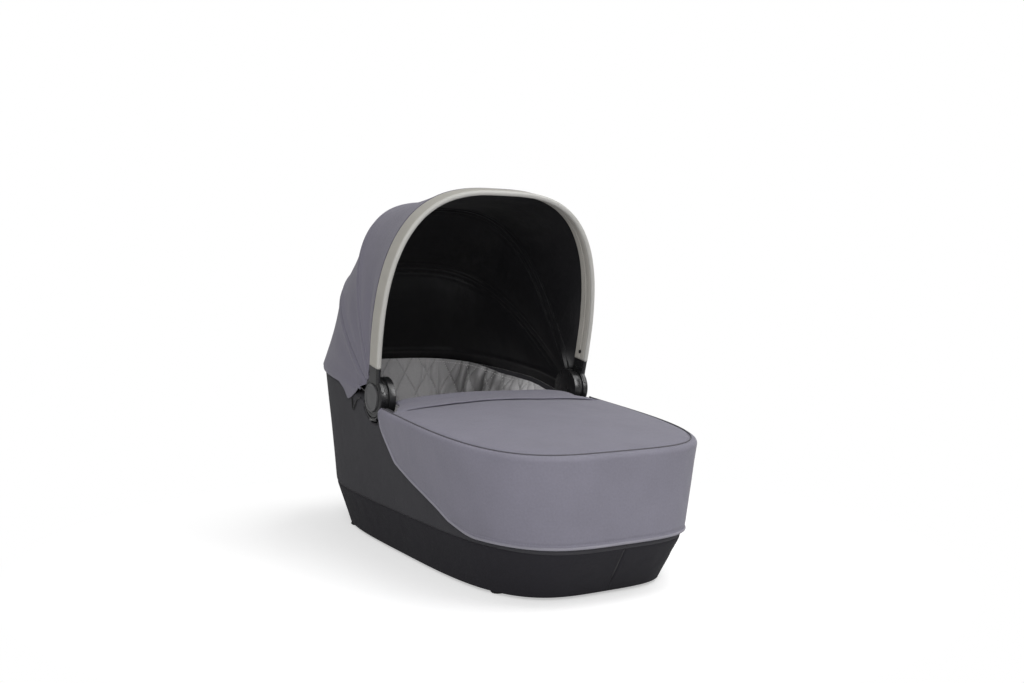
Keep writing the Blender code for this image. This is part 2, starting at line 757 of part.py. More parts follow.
def rod(name, points, radius, look, carrier):
    """A round bar through points as a mesh, for a Boolean cutter."""
    rings = []
    for index, point in enumerate(points):
        ahead = points[min(index + 1, len(points) - 1)] - points[max(index - 1, 0)]
        across = ahead.cross(Vector((0.0, 0.0, 1.0))).normalized()
        up = across.cross(ahead).normalized()
        turns = turn_angles(SMALL_ROUND_STEPS)
        rings.append([point + across * radius * math.cos(t) + up * radius * math.sin(t) for t in turns])
    return loft(name, rings, look, carrier)


def build_hub_small_parts(side_name, side, looks, root):
    washer_low = BOSS_FACE + LAYER_GAP
    washer_high = washer_low + WASHER_THICKNESS
    washer = [
        (side * washer_low, WASHER_BORE_RADIUS),
        (side * washer_low, WASHER_RADIUS),
        (side * washer_high, WASHER_RADIUS),
        (side * washer_high, WASHER_BORE_RADIUS),
    ]
    lathe("retaining_washer_" + side_name, washer, SMALL_ROUND_STEPS, looks["metal"], root)
    face = HUB_FACE + BUTTON_PROUD
    back = face - BUTTON_THICKNESS
    radius = RECESS_RADIUS - BUTTON_CLEARANCE
    button = [
        (side * (back - STEM_LENGTH), 0.0),
        (side * (back - STEM_LENGTH), STEM_RADIUS),
        (side * back, STEM_RADIUS),
        (side * back, radius),
        (side * (face - BUTTON_DISH), radius),
        (side * face, radius - BUTTON_DISH),
        (side * face, radius - 3 * BUTTON_DISH),
        (side * (face - BUTTON_DISH), radius - 5 * BUTTON_DISH),
        (side * (face - BUTTON_DISH), 0.0),
    ]
    guide = pivot("button_guide_" + side_name, Vector((side * face, HUB_Y, HUB_HEIGHT)), root)
    lathe("hub_button_" + side_name, button, ROUND_STEPS, looks["button"], guide)
    low = HOUSING_BACK + BORE_FLOOR + SPRING_WIRE + CLEARANCE
    high = back - SPRING_WIRE - CLEARANCE
    per_turn = 8
    points = []
    for step in range(SPRING_TURNS * per_turn + 1):
        turn = 2 * math.pi * step / per_turn
        x = side * mix(low, high, step / (SPRING_TURNS * per_turn))
        y = HUB_Y + SPRING_RADIUS * math.cos(turn)
        z = HUB_HEIGHT + SPRING_RADIUS * math.sin(turn)
        points.append((x, y, z))
    tube("button_spring_" + side_name, points, SPRING_WIRE, looks["metal"], guide, sides=0)


# Handle and bows
def mirrored(angles, side):
    return angles if side > 0 else [math.pi - angle for angle in angles]


def build_handle(looks, carrier):
    bore = BOSS_RADIUS + PIVOT_CLEARANCE
    rounding = LAYER_GAP * 2
    stations = arch_angles(HANDLE, WRAP_START)
    core_sink = (WRAP_THICKNESS - CORE_THICKNESS) / 2
    core_gap_angle = CORE_GAP / HANDLE_REACH
    for side_name, side in (("left", -1), ("right", 1)):
        profile = [
            (side * DISC_BACK, bore),
            (side * DISC_BACK, DISC_RADIUS),
            (side * (HUB_FACE - rounding), DISC_RADIUS),
            (side * HUB_FACE, DISC_RADIUS - rounding),
            (side * HUB_FACE, RECESS_RADIUS),
            (side * BOSS_FACE, RECESS_RADIUS),
            (side * BOSS_FACE, bore),
        ]
        arm = lathe("handle_arm_" + side_name, profile, ROUND_STEPS, looks["moulding"], carrier)
        reaches = [mix(RECESS_RADIUS + LAYER_GAP, WRAP_START - CLEARANCE, step / 2) for step in range(3)]
        neck_angles = mirrored([arch_angle(HANDLE, reach) for reach in reaches], side)
        neck_rings = sweep_rings(HANDLE, neck_angles, rounded_profile(WRAP_WIDTH, WRAP_THICKNESS))
        neck = loft("neck_" + side_name, neck_rings, looks["moulding"], carrier)
        tongue_ends = [arch_angle(HANDLE, reaches[1]), stations[1] - core_gap_angle]
        tongue_profile = strip_profile(CORE_WIDTH, CORE_THICKNESS, core_sink)
        tongue_rings = sweep_rings(HANDLE, mirrored(tongue_ends, side), tongue_profile)
        tongue = loft("tongue_" + side_name, tongue_rings, looks["moulding"], carrier)
        boolean(arm, neck, "UNION")
        boolean(arm, tongue, "UNION")
        trim_profile = [
            (side * (DISC_BACK - CUT_OVERRUN), 0.0),
            (side * (DISC_BACK - CUT_OVERRUN), DISC_RADIUS + LAYER_GAP),
            (side * DISC_BACK, DISC_RADIUS + LAYER_GAP),
            (side * DISC_BACK, 0.0),
        ]
        trim = lathe("trim_" + side_name, trim_profile, ROUND_STEPS, looks["moulding"], carrier)
        boolean(arm, trim, "DIFFERENCE")
    core_rings = sweep_rings(HANDLE, stations[1:-1], strip_profile(CORE_WIDTH, CORE_THICKNESS, core_sink))
    loft("handle_core", core_rings, looks["metal"], carrier)
    wrap_rings = sweep_rings(HANDLE, stations, rounded_profile(WRAP_WIDTH, WRAP_THICKNESS))
    wrap_shell("handle_wrap", wrap_rings, looks["wrap"], carrier)
    build_screws(looks["metal"], carrier)


def wrap_shell(name, rings, look, carrier):
    """A hollow band through closed rings, open at both ends."""
    bm = bmesh.new()
    grid_faces(bm, rings, closed=True)
    bm.faces.ensure_lookup_table()
    first = bm.faces[0]
    first.normal_update()
    middle = sum(rings[0], Vector()) / len(rings[0])
    if first.normal.dot(first.calc_center_median() - middle) < 0:
        bmesh.ops.reverse_faces(bm, faces=bm.faces)
    obj = add_mesh(name, bm, look, carrier, closed=False)
    step = obj.modifiers.new("thickness", "SOLIDIFY")
    step.thickness = WRAP_SKIN
    step.offset = -1.0
    step.use_even_offset = True
    return obj


def build_screws(look, carrier):
    """A screw head on the inside of each end of the wrap."""
    for side_name, side in (("left", -1), ("right", 1)):
        angle = arch_angle(HANDLE, SCREW_REACH)
        angle = angle if side > 0 else math.pi - angle
        out = arch_normal(HANDLE, angle)
        centre = arch_point(HANDLE, angle) - out * (WRAP_THICKNESS + CLEARANCE)
        points = [centre, centre - out * SCREW_HEAD]
        rod("handle_screw_" + side_name, points, SCREW_RADIUS, look, carrier)


def bow_angles(arch):
    """Stations along a bow: one inside the plate at each end, and the hood's own between."""
    start = arch_angle(arch, BOW_START)
    return [start] + arch_angles(arch, HOOD_START) + [math.pi - start]


def build_bow(name, arch, plate_face, look, carrier):
    """A flat strip bent into an arch, with a flat ring at each end that turns on the boss."""
    rings = sweep_rings(arch, bow_angles(arch), strip_profile(BOW_WIDTH, BOW_THICKNESS))
    bow = loft(name, rings, look, carrier)
    bore = BOSS_RADIUS + PIVOT_CLEARANCE
    for side in (-1, 1):
        low = side * (plate_face - PLATE_THICKNESS)
        high = side * plate_face
        plate_profile = [(low, bore), (low, PLATE_RADIUS), (high, PLATE_RADIUS), (high, bore)]
        boolean(bow, lathe(f"{name}_plate_{side}", plate_profile, ROUND_STEPS, look, carrier), "UNION")
    return bow


# Hood cloth
def outer_line(arch):
    """The line of the hood cloth over a bow."""
    cloth = arch._replace(half_width=HOOD_HALF_WIDTH, reach=arch.reach + HOOD_OUT, flare_share=0.0)
    return arch_line(cloth, HOOD_START)


def inner_line(arch):
    """The line of the lining under a bow."""
    depth = BOW_THICKNESS + LINING_IN
    cloth = arch._replace(half_width=arch.half_width - depth, reach=arch.reach - depth, flare_share=0.0)
    return arch_line(cloth, LINING_START)


def arch_line(arch, radius, side_offset=0.0):
    return [arch_point(arch, angle, side_offset) for angle in arch_angles(arch, radius)]


def panel_rows(first, last, shares, sag=0.0, gaps=(0.0, 0.0)):
    """Rows between two lines, sagging towards the hub between them, with a gap left at either line."""
    rows = []
    for share in shares:
        row = []
        for low, high in zip(first, last):
            way = high - low
            place_share = mix(gaps[0] / way.length, 1 - gaps[1] / way.length, share)
            point = low + way * place_share
            inward = (HUB - point).normalized()
            row.append(point + inward * sag * 4 * place_share * (1 - place_share))
        rows.append(row)
    return rows


def build_hood(look, carriers):
    edge = WRAP_WIDTH / 2 + LAYER_GAP
    handle_line = arch_line(HANDLE, WRAP_START, edge)
    mid_line = outer_line(MID_BOW)
    rear_line = outer_line(REAR_BOW)
    halves = (0.0, 0.5, 1.0)
    front = panel_rows(handle_line, mid_line, halves, HOOD_SAG, (0.0, SEAM_GAP))
    middle = panel_rows(mid_line, rear_line, halves, HOOD_SAG, (SEAM_GAP, SEAM_GAP))
    over, hem = hem_lines()
    rear = panel_rows(rear_line, over, halves, 0.0, (SEAM_GAP, 0.0)) + [hem]
    sheet("hood_front", front, False, HOOD_THICKNESS, look, carriers["handle"], HUB)
    sheet("hood_middle", middle, False, HOOD_THICKNESS, look, carriers["mid_bow"], HUB)
    sheet("hood_rear", rear, False, HOOD_THICKNESS, look, carriers["rear_bow"], HUB)


def hem_angles(radius):
    first = angle_at(HUB_Y + radius, 1)
    return [mix(first, math.pi - first, step / ARCH_STEPS) for step in range(ARCH_STEPS + 1)]


def hem_drop(y):
    """How far the hood's hem hangs below the rim; it dips to a point behind each hub."""
    places = [RIM_HEAD_LENGTH * share for share in HOOD_HEM_PLACE_SHARES]
    drops = [HOOD_HEM_DEPTH * share for share in HOOD_HEM_DROP_SHARES]
    return along(places, drops, y)


def hem_lines():
    """The line where the rear panel turns down over the rim, and its hem below that."""
    over = []
    hem = []
    for angle in hem_angles(HOOD_START):
        drop = hem_drop(outline_xy(RIM, angle)[1])
        top = min(drop, 0.0) - HOOD_HEM_RISE
        over.append(rim_point(angle, -HOOD_HEM_OUT, top))
        hem.append(rim_point(angle, -HOOD_HEM_OUT, drop))
    return over, hem


def build_lining(look, carriers):
    depth = WRAP_THICKNESS + LINING_IN
    handle_arch = HANDLE._replace(half_width=HANDLE_HALF_WIDTH - depth, reach=HANDLE_REACH - depth / 2)
    handle_line = arch_line(handle_arch, LINING_START, WRAP_WIDTH / 2 + LAYER_GAP)
    mid_line = inner_line(MID_BOW)
    rear_line = inner_line(REAR_BOW)
    angles = hem_angles(LINING_START)
    rest = [rim_point(angle, LINING_REST_INSET, -LINING_THICKNESS - LAYER_GAP) for angle in angles]
    ends = (0.0, 1.0)
    front = panel_rows(handle_line, mid_line, ends, 0.0, (0.0, SEAM_GAP))
    middle = panel_rows(mid_line, rear_line, ends, 0.0, (SEAM_GAP, SEAM_GAP))
    rear = panel_rows(rear_line, rest, ends, 0.0, (SEAM_GAP, 0.0))
    sheet("lining_front", front, False, LINING_THICKNESS, look, carriers["handle"], HUB)
    sheet("lining_middle", middle, False, LINING_THICKNESS, look, carriers["mid_bow"], HUB)
    sheet("lining_rear", rear, False, LINING_THICKNESS, look, carriers["rear_bow"], HUB)


def build_loops(look, carrier):
    """The elastic loop that ties the hood's tip down beside each hub."""
    steps = 8
    for side_name, side in (("left", -1), ("right", 1)):
        points = []
        for step in range(steps + 1):
            share = step / steps
            y = mix(LOOP_TOP_Y, LOOP_END_Y, share ** 1.5)
            angle = angle_at(y, side)
            start = hem_drop(LOOP_TOP_Y) + LOOP_RADIUS + LAYER_GAP
            points.append(rim_point(angle, -LOOP_RADIUS - LAYER_GAP, mix(start, LOOP_DROP, share)))
        tube("hood_loop_" + side_name, points, LOOP_RADIUS, look, carrier, sides=1)


# Apron
def apron_angles(front_y, steps):
    first = angle_at(front_y, -1)
    last = angle_at(front_y, 1) + 2 * math.pi
    return [mix(first, last, step / steps) for step in range(steps + 1)]


def apron_height(x, y):
    """The crowned top: level with the rim at its edge, and higher in the middle."""
    across = min(abs(x) / (RIM_HALF_WIDTH + APRON_OUT), 1.0)
    down = min(abs(min(y, 0.0)) / (RIM_FOOT_LENGTH + APRON_OUT), 1.0)
    ring = (across**RIM_FOOT_ROUNDNESS + down**RIM_FOOT_ROUNDNESS) ** (1 / RIM_FOOT_ROUNDNESS)
    crown = 1 - min(ring, 1.0) ** 2.0
    return RIM_HEIGHT + RIM_SLOPE_SHARE * y + APRON_TOP_RISE + APRON_CROWN * crown


def apron_loop():
    """The edge of the top panel: the seam round the foot end, then the straight edge at the head."""
    seam = [rim_point(angle, -APRON_EDGE_OUT, 0.0) for angle in apron_angles(APRON_FRONT_Y, APRON_STEPS)]
    edge = []
    corner_steps = 8
    for step in range(corner_steps + 1):
        x = mix(APRON_EDGE_HALF, -APRON_EDGE_HALF, step / corner_steps)
        edge.append(Vector((x, APRON_EDGE_Y, 0.0)))
    side_right = Vector((APRON_EDGE_HALF, APRON_FRONT_Y, 0.0))
    side_left = Vector((-APRON_EDGE_HALF, APRON_FRONT_Y, 0.0))
    return seam + [side_right] + edge + [side_left]


def build_apron(looks, carrier, skirt_notch):
    loop = apron_loop()
    middle = Vector((0.0, (APRON_EDGE_Y - RIM_FOOT_LENGTH) / 2, 0.0))
    rows = []
    for share in (1.0, 0.9, 0.65, 0.32):
        row = []
        for point in loop:
            x = mix(middle.x, point.x, share)
            y = mix(middle.y, point.y, share)
            row.append(Vector((x, y, apron_height(x, y))))
        rows.append(row)
    bm = bmesh.new()
    made = grid_faces(bm, rows, closed=True)
    bm.faces.new(made[-1])
    turn_outward(bm, Vector((0.0, middle.y, 0.0)))
    top = add_mesh("apron_top", bm, looks["apron"], carrier, closed=False)
    step = top.modifiers.new("thickness", "SOLIDIFY")
    step.thickness = APRON_TOP_THICKNESS
    step.offset = -1.0
    build_apron_skirt(looks, carrier, skirt_notch)


def hem_height(y):
    """The hem's height: steep beside the hub, then slanting down, then level round the foot."""
    places = [mix(HEM_LOW_Y, HEM_TIP_Y, share) for share in HEM_PLACE_SHARES]
    heights = [mix(HEM_LOW_HEIGHT, HEM_TIP_HEIGHT, share) for share in HEM_RISE_SHARES]
    near = [along(places, heights, y + step * HEM_EASE) for step in (-3, -2, -1, 0, 1, 2, 3)]
    return sum(near) / len(near)


def build_apron_skirt(looks, carrier, skirt_notch):
    centre = Vector((0.0, 0.0, CREASE_HEIGHT))
    top_drop = SEAM_PIPING_DROP + SEAM_PIPING_RADIUS + CLEARANCE
    rows = [[], [], []]
    hem = []
    for angle in apron_angles(HEM_TIP_Y, APRON_STEPS + 6):
        y = outline_xy(RIM, angle)[1]
        top = rim_height(y) - top_drop
        low = hem_height(y)
        for row, share in zip(rows, (0.0, 0.5, 1.0)):
            row.append(wall_at_height(angle, mix(top, low, share), -APRON_OUT))
        hem.append(wall_at_height(angle, low - PIPING_RADIUS - CLEARANCE, -PIPING_OUT))
    skirt = sheet("apron_skirt", rows, False, APRON_THICKNESS, looks["apron"], carrier, centre)
    boolean(skirt, skirt_notch, "DIFFERENCE")
    tube("apron_hem_piping", hem, PIPING_RADIUS, looks["piping"], carrier, sides=1)
    seam = []
    for angle in apron_angles(APRON_FRONT_Y, APRON_STEPS):
        seam.append(rim_point(angle, -SEAM_PIPING_OUT, SEAM_PIPING_DROP))
    tube("apron_seam_piping", seam, SEAM_PIPING_RADIUS, looks["piping"], carrier, sides=1)


def build_flap(look, carrier):
    """The wind flap, folded down on the apron from its head edge."""
    columns = 12
    rows = []
    for y_step in range(4):
        y = APRON_EDGE_Y - CLEARANCE - FLAP_LENGTH * y_step / 3
        half = FLAP_HALF + FLAP_FLARE * max(y_step - 2, 0)
        row = []
        for step in range(columns + 1):
            x = mix(-half, half, step / columns)
            row.append(Vector((x, y, apron_height(x, y) + FLAP_LIFT + FLAP_THICKNESS)))
        rows.append(row)
    sheet("wind_flap", rows, False, FLAP_THICKNESS, look, carrier, Vector((0.0, 0.0, 0.0)))


def build_all():
    clear_scene()
    looks = {
        "moulding": material("black moulding", (0.012, 0.012, 0.013), 0.35),
        "button": material("grey button", (0.07, 0.07, 0.075), 0.45),
        "metal": material("steel", (0.55, 0.55, 0.56), 0.35, 1.0),
        "tray": material("tray", (0.02, 0.02, 0.022), 0.6),
        "rubber": material("rubber", (0.01, 0.01, 0.01), 0.85),
        "board": material("board", (0.25, 0.20, 0.14), 0.8),
        "band": material("band cloth", (0.02, 0.019, 0.023), 0.9),
        "cover": material("cover cloth", (0.04, 0.04, 0.044), 0.9),
        "liner": material("liner cloth", (0.17, 0.17, 0.17), 0.9),
        "mattress": material("mattress cloth", (0.5, 0.5, 0.5), 0.9),
        "hood": material("hood cloth", (0.14, 0.135, 0.16), 0.85),
        "lining": material("lining cloth", (0.01, 0.01, 0.012), 0.85),
        "apron": material("apron cloth", (0.22, 0.22, 0.26), 0.85),
        "piping": material("piping", (0.24, 0.24, 0.28), 0.8),
        "wrap": material("handle wrap", (0.38, 0.36, 0.33), 0.5),
    }
    root = bpy.data.objects.new("carrycot", None)
    bpy.context.scene.collection.objects.link(root)
    carriers = {"root": root}
    for name in ("handle", "mid_bow", "rear_bow"):
        carriers[name] = pivot(name + "_pivot", HUB, root)
    flap_axis = Vector((0.0, APRON_EDGE_Y, apron_height(FLAP_HALF, APRON_EDGE_Y)))
    carriers["flap"] = pivot("wind_flap_pivot", flap_axis, root)
    notch = notch_cutter("hub_notch", NOTCH_RADIUS, looks["cover"], root)
    skirt_notch = notch_cutter("skirt_notch", NOTCH_RADIUS + APRON_NOTCH_OUT, looks["apron"], root)
    build_tray(looks["tray"], root)
    build_feet(looks["rubber"], root)
    build_board(looks["board"], root)
    build_mattress(looks["mattress"], root)
    build_cover(looks, root, notch)
    build_liner(looks["liner"], root, notch)
    build_rim_tubes(looks["metal"], root)
    build_stays(looks["metal"], root)
    for side_name, side in (("left", -1), ("right", 1)):
        build_housing("hub_housing_" + side_name, side, looks["moulding"], root)
        build_hub_small_parts(side_name, side, looks, root)
    build_handle(looks, carriers["handle"])
    build_bow("mid_bow", MID_BOW, MID_PLATE_FACE, looks["moulding"], carriers["mid_bow"])
    build_bow("rear_bow", REAR_BOW, REAR_PLATE_FACE, looks["moulding"], carriers["rear_bow"])
    build_hood(looks["hood"], carriers)
    build_lining(looks["lining"], carriers)
    build_loops(looks["rubber"], root)
    build_apron(looks, root, skirt_notch)
    build_flap(looks["apron"], carriers["flap"])
    return root


def notch_cutter(name, radius, look, carrier):
    """A round bar for the hub notches; it sits a little low, so a crescent shows under the hub."""
    turns = turn_angles(ROUND_STEPS)
    middle = HUB_HEIGHT - NOTCH_DROP
    outline = [(HUB_Y + radius * math.cos(turn), middle + radius * math.sin(turn)) for turn in turns]
    reach = HUB_FACE + CUT_OVERRUN
    return extrude_outline(name, outline, -reach, reach, look, carrier)


def centre_on_origin(root):
    """Moves the carrycot so that the middle of its footprint is the origin."""
    bpy.context.view_layer.update()
    graph = bpy.context.evaluated_depsgraph_get()
    low = Vector((math.inf, math.inf, math.inf))
    high = -low
    for obj in bpy.context.scene.objects:
        if obj.type == "EMPTY" or obj.hide_render:
            continue
        shape = obj.evaluated_get(graph)
        mesh = shape.to_mesh()
        for vertex in mesh.vertices:
            point = shape.matrix_world @ vertex.co
            low = Vector(map(min, low, point))
            high = Vector(map(max, high, point))
        shape.to_mesh_clear()
    root.location = (-(low.x + high.x) / 2, -(low.y + high.y) / 2, -low.z)


centre_on_origin(build_all())
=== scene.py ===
"""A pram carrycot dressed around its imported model: cloth, quilting, stitching and mouldings."""

import collections
import functools
import json
import math

import bmesh
import bpy
import numpy as np
from mathutils import Matrix, Vector, noise


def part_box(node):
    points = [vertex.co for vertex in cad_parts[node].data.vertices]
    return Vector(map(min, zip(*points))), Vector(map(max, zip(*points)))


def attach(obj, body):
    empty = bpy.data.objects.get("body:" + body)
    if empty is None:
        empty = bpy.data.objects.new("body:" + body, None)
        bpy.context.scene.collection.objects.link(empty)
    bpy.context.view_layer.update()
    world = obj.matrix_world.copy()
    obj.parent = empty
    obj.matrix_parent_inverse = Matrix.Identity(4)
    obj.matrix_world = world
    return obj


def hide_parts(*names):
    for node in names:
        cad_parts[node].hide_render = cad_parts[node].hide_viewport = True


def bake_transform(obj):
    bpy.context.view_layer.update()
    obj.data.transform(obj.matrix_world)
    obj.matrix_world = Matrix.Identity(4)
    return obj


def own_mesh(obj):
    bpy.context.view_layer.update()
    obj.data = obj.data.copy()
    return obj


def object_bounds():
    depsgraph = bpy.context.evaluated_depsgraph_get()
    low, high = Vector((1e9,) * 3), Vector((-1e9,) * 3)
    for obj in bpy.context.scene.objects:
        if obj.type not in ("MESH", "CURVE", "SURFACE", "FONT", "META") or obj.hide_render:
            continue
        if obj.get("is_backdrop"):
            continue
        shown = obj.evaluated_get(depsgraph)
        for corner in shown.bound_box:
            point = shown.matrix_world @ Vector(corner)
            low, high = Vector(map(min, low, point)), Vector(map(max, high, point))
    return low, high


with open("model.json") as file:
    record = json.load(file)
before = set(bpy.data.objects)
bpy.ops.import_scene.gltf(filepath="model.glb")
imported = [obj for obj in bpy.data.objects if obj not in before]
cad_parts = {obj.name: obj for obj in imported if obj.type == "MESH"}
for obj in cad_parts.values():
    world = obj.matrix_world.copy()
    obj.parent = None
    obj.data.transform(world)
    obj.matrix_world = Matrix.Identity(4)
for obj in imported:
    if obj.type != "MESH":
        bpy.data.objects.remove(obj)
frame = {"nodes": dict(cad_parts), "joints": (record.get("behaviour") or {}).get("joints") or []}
cad_low, cad_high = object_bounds()


# Base tray
# One black injection moulding with ribs and vent slots. The cover is pulled down over its wall. Its
# skin has a fine grain, a little shinier in patches where it has been handled.
TRAY_COLOUR = (0.022, 0.022, 0.024)
GRAIN_PITCH = 0.0006
GRAIN_DEPTH = 0.00004
SCUFF_PITCH = 0.025


def wire(node, sockets):
    """Fills a shader node's sockets; one given another node's output is linked to it."""
    for key, value in sockets.items():
        if isinstance(value, bpy.types.NodeSocket):
            node.id_data.links.new(value, node.inputs[key])
        else:
            node.inputs[key].default_value = value


def add_node(tree, kind, sockets, **settings):
    node = tree.nodes.new(kind)
    for key, value in settings.items():
        setattr(node, key, value)
    wire(node, sockets)
    return node


def new_finish(name, colour, roughness, metallic=0.0):
    finish = bpy.data.materials.new(name)
    finish.use_nodes = True
    shader = finish.node_tree.nodes["Principled BSDF"]
    wire(shader, {"Base Color": (*colour, 1.0), "Roughness": roughness, "Metallic": metallic})
    return finish, finish.node_tree, shader


def object_place(tree):
    return add_node(tree, "ShaderNodeTexCoord", {}).outputs["Object"]


def maths(tree, operation, *values):
    return add_node(tree, "ShaderNodeMath", dict(enumerate(values)), operation=operation).outputs[0]


def specks(tree, place, pitch, detail=2.0):
    """Soft random specks about a pitch apart, as a value from 0 to 1."""
    sockets = {"Vector": place, "Scale": 1.0 / pitch, "Detail": detail}
    return add_node(tree, "ShaderNodeTexNoise", sockets).outputs[0]


def map_range(tree, value, low, high, start=0.0, end=1.0, **settings):
    """The value taken from the range between start and end to the range between low and high."""
    sockets = {"Value": value, "From Min": start, "From Max": end, "To Min": low, "To Max": high}
    return add_node(tree, "ShaderNodeMapRange", sockets, **settings).outputs[0]


def shift_range(tree, value, low, high):
    """As map_range, for the range that nearly all of a noise lies in."""
    return map_range(tree, value, low, high, 0.25, 0.75)


def scaled(tree, colour, share):
    return add_node(tree, "ShaderNodeVectorMath", {0: colour, "Scale": share}, operation="SCALE").outputs[0]


def tint(tree, value, colour, darker, lighter):
    """The colour scaled from a darker to a lighter share of itself as the value goes from 0 to 1."""
    return scaled(tree, colour, shift_range(tree, value, darker, lighter))


def bump(tree, height, depth, below=None):
    sockets = {"Height": height, "Distance": depth, "Strength": 1.0}
    if below is not None:
        sockets["Normal"] = below
    return add_node(tree, "ShaderNodeBump", sockets).outputs[0]


def moulded(name, colour, roughness, grain_depth=GRAIN_DEPTH):
    """Moulded plastic: fine grain, with broad patches that handling has left a little shinier."""
    finish, tree, shader = new_finish(name, colour, roughness)
    place = object_place(tree)
    scuffs = specks(tree, place, SCUFF_PITCH, 4.0)
    gloss = shift_range(tree, scuffs, roughness * 0.8, roughness * 1.25)
    grain = bump(tree, specks(tree, place, GRAIN_PITCH), grain_depth)
    wire(shader, {"Base Color": tint(tree, scuffs, colour, 0.85, 1.2), "Roughness": gloss, "Normal": grain})
    return finish


def coat(finish, *nodes):
    """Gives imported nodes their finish."""
    for node in nodes:
        mesh = frame["nodes"][node].data
        mesh.materials.clear()
        mesh.materials.append(finish)


coat(moulded("tray plastic", TRAY_COLOUR, 0.55), "base_tray")

# Feet
# Four turned pads of black rubber, fixed under the floor of the tray. Rubber is matt and takes up a
# little dust.
RUBBER_COLOUR = (0.012, 0.012, 0.012)
foot_rubber = moulded("foot rubber", RUBBER_COLOUR, 0.8, GRAIN_DEPTH * 3)
coat(foot_rubber, "foot_front_left", "foot_front_right", "foot_rear_left", "foot_rear_right")

# Base board
# A sheet of pressed fibreboard, cut a little smaller than the tray. It lies loose on the tray's ribs
# and carries the mattress.
BOARD_COLOUR = (0.30, 0.22, 0.14)
coat(moulded("pressed board", BOARD_COLOUR, 0.85, GRAIN_DEPTH * 2), "base_board")

# Rim tubes and wall stays
# Two bent aluminium tubes, held in the fold of the cover's rim by the hub housings, and sprung steel
# wire that keeps the end walls up. The springs and washers of the hubs are of the same steel.
TUBE_COLOUR = (0.55, 0.55, 0.56)
BRUSH_PITCH = 0.0009


def drawn_metal(name, colour, roughness):
    """Drawn or turned metal with fine streaks that spread the gloss."""
    finish, tree, shader = new_finish(name, colour, roughness, 1.0)
    streaks = specks(tree, object_place(tree), BRUSH_PITCH, 3.0)
    wire(shader, {"Roughness": shift_range(tree, streaks, roughness * 0.7, roughness * 1.4)})
    return finish


spring_steel = drawn_metal("spring steel", TUBE_COLOUR, 0.25)
coat(drawn_metal("drawn aluminium", TUBE_COLOUR, 0.38), "rim_tube_head", "rim_tube_foot", "handle_core")
coat(spring_steel, "stay_head", "stay_foot", "button_spring_left", "button_spring_right")
coat(spring_steel, "retaining_washer_left", "retaining_washer_right")

# Lower band of the cover
# A strip of dense black cloth from the crease down round the tray's bottom edge, where it is turned
# under. A seam draws it in at the middle of the foot end, and it creases softly.
HUB_FROM_MIDDLE = 0.020
hub = Vector(frame["joints"][0]["pos_m"])
tub_y = hub.y - HUB_FROM_MIDDLE
Outline = collections.namedtuple(
    "Outline", "half_width foot_length head_length foot_roundness head_roundness"
)
FLOOR_LINE = Outline(0.160, 0.350, 0.362, 3.7, 3.6)
CREASE_LINE = Outline(0.172, 0.3935, 0.397, 3.7, 4.1)
RIM_LINE = Outline(0.204, 0.386, 0.407, 3.9, 3.4)
TAPER_SHARE = -0.045
FLOOR_HEIGHT = 0.005
CREASE_HEIGHT = 0.076
RIM_HEIGHT = 0.250
RIM_SLOPE_SHARE = 0.0966
RIM_HEAD_RISE = 0.015
RIM_RISE_LENGTH = 0.16
MERGE = 0.000002
TUB_MIDDLE = Vector((0.0, 0.0, 0.2))
SLUB_SHADE = 0.10
SHEEN_ROUGHNESS = 0.45
BAND_THICKNESS = 0.0012
BAND_COLOUR = (0.0215, 0.0205, 0.0250)
BAND_COLUMNS = 560
BAND_ROWS = 30
BAND_TURN_UNDER = 0.018
BAND_UNDER_SHARE = 0.16
BAND_CUT = 0.092
BAND_HEIGHT = 0.08
CREASE_ROLL = 0.0013
CREASE_REACH = 0.0024
BAND_WAVE = 0.0018
FOOT_SEAM_WIDTHS = (0.0009, 0.00195)
FOOT_SEAM_DEPTH = 0.0020
FOOT_SEAM_END = 0.20


def signed_power(value, exponent):
    return math.copysign(abs(value) ** exponent, value)


def mix(low, high, share):
    return low + (high - low) * share


def smooth(value):
    held = min(max(value, 0.0), 1.0)
    return held * held * (3.0 - 2.0 * held)


def outline_xy(outline, turn, inset=0.0):
    """A point of an outline; turn 0 is +X, and a quarter turn is the middle of the head end."""
    head = math.sin(turn) >= 0
    roundness = outline.head_roundness if head else outline.foot_roundness
    length = outline.head_length if head else outline.foot_length
    y = (length - inset) * signed_power(math.sin(turn), 2 / roundness)
    taper = 1 + TAPER_SHARE * y / RIM_LINE.head_length
    x = (outline.half_width - inset) * signed_power(math.cos(turn), 2 / roundness) * taper
    return x, y


def rim_height(y):
    return RIM_HEIGHT + RIM_SLOPE_SHARE * y + RIM_HEAD_RISE * smooth(y / RIM_RISE_LENGTH)


def rim_top(turn):
    """The height of the rim at a turn."""
    return rim_height(outline_xy(RIM_LINE, turn)[1])


def between_lines(low_line, high_line, low, high, turn, share, inset):
    """A point between two outlines, from the low one at share 0 to the high one at share 1."""
    low_x, low_y = outline_xy(low_line, turn, inset)
    high_x, high_y = outline_xy(high_line, turn, inset)
    return Vector((mix(low_x, high_x, share), mix(low_y, high_y, share), mix(low, high, share)))


def wall_point(turn, share, inset=0.0):
    """A point of the side wall, from the crease at share 0 to the rim at share 1."""
    return between_lines(CREASE_LINE, RIM_LINE, CREASE_HEIGHT, rim_top(turn), turn, share, inset)


def band_point(turn, share, inset=0.0):
    """A point of the band, from the floor at share 0 to the crease at share 1."""
    return between_lines(FLOOR_LINE, CREASE_LINE, FLOOR_HEIGHT, CREASE_HEIGHT, turn, share, inset)


def rim_point(turn, inset, drop):
    """A point a stated drop below the rim and a stated inset from the outside of the wall."""
    return wall_point(turn, 1 - drop / (rim_top(turn) - CREASE_HEIGHT), inset)


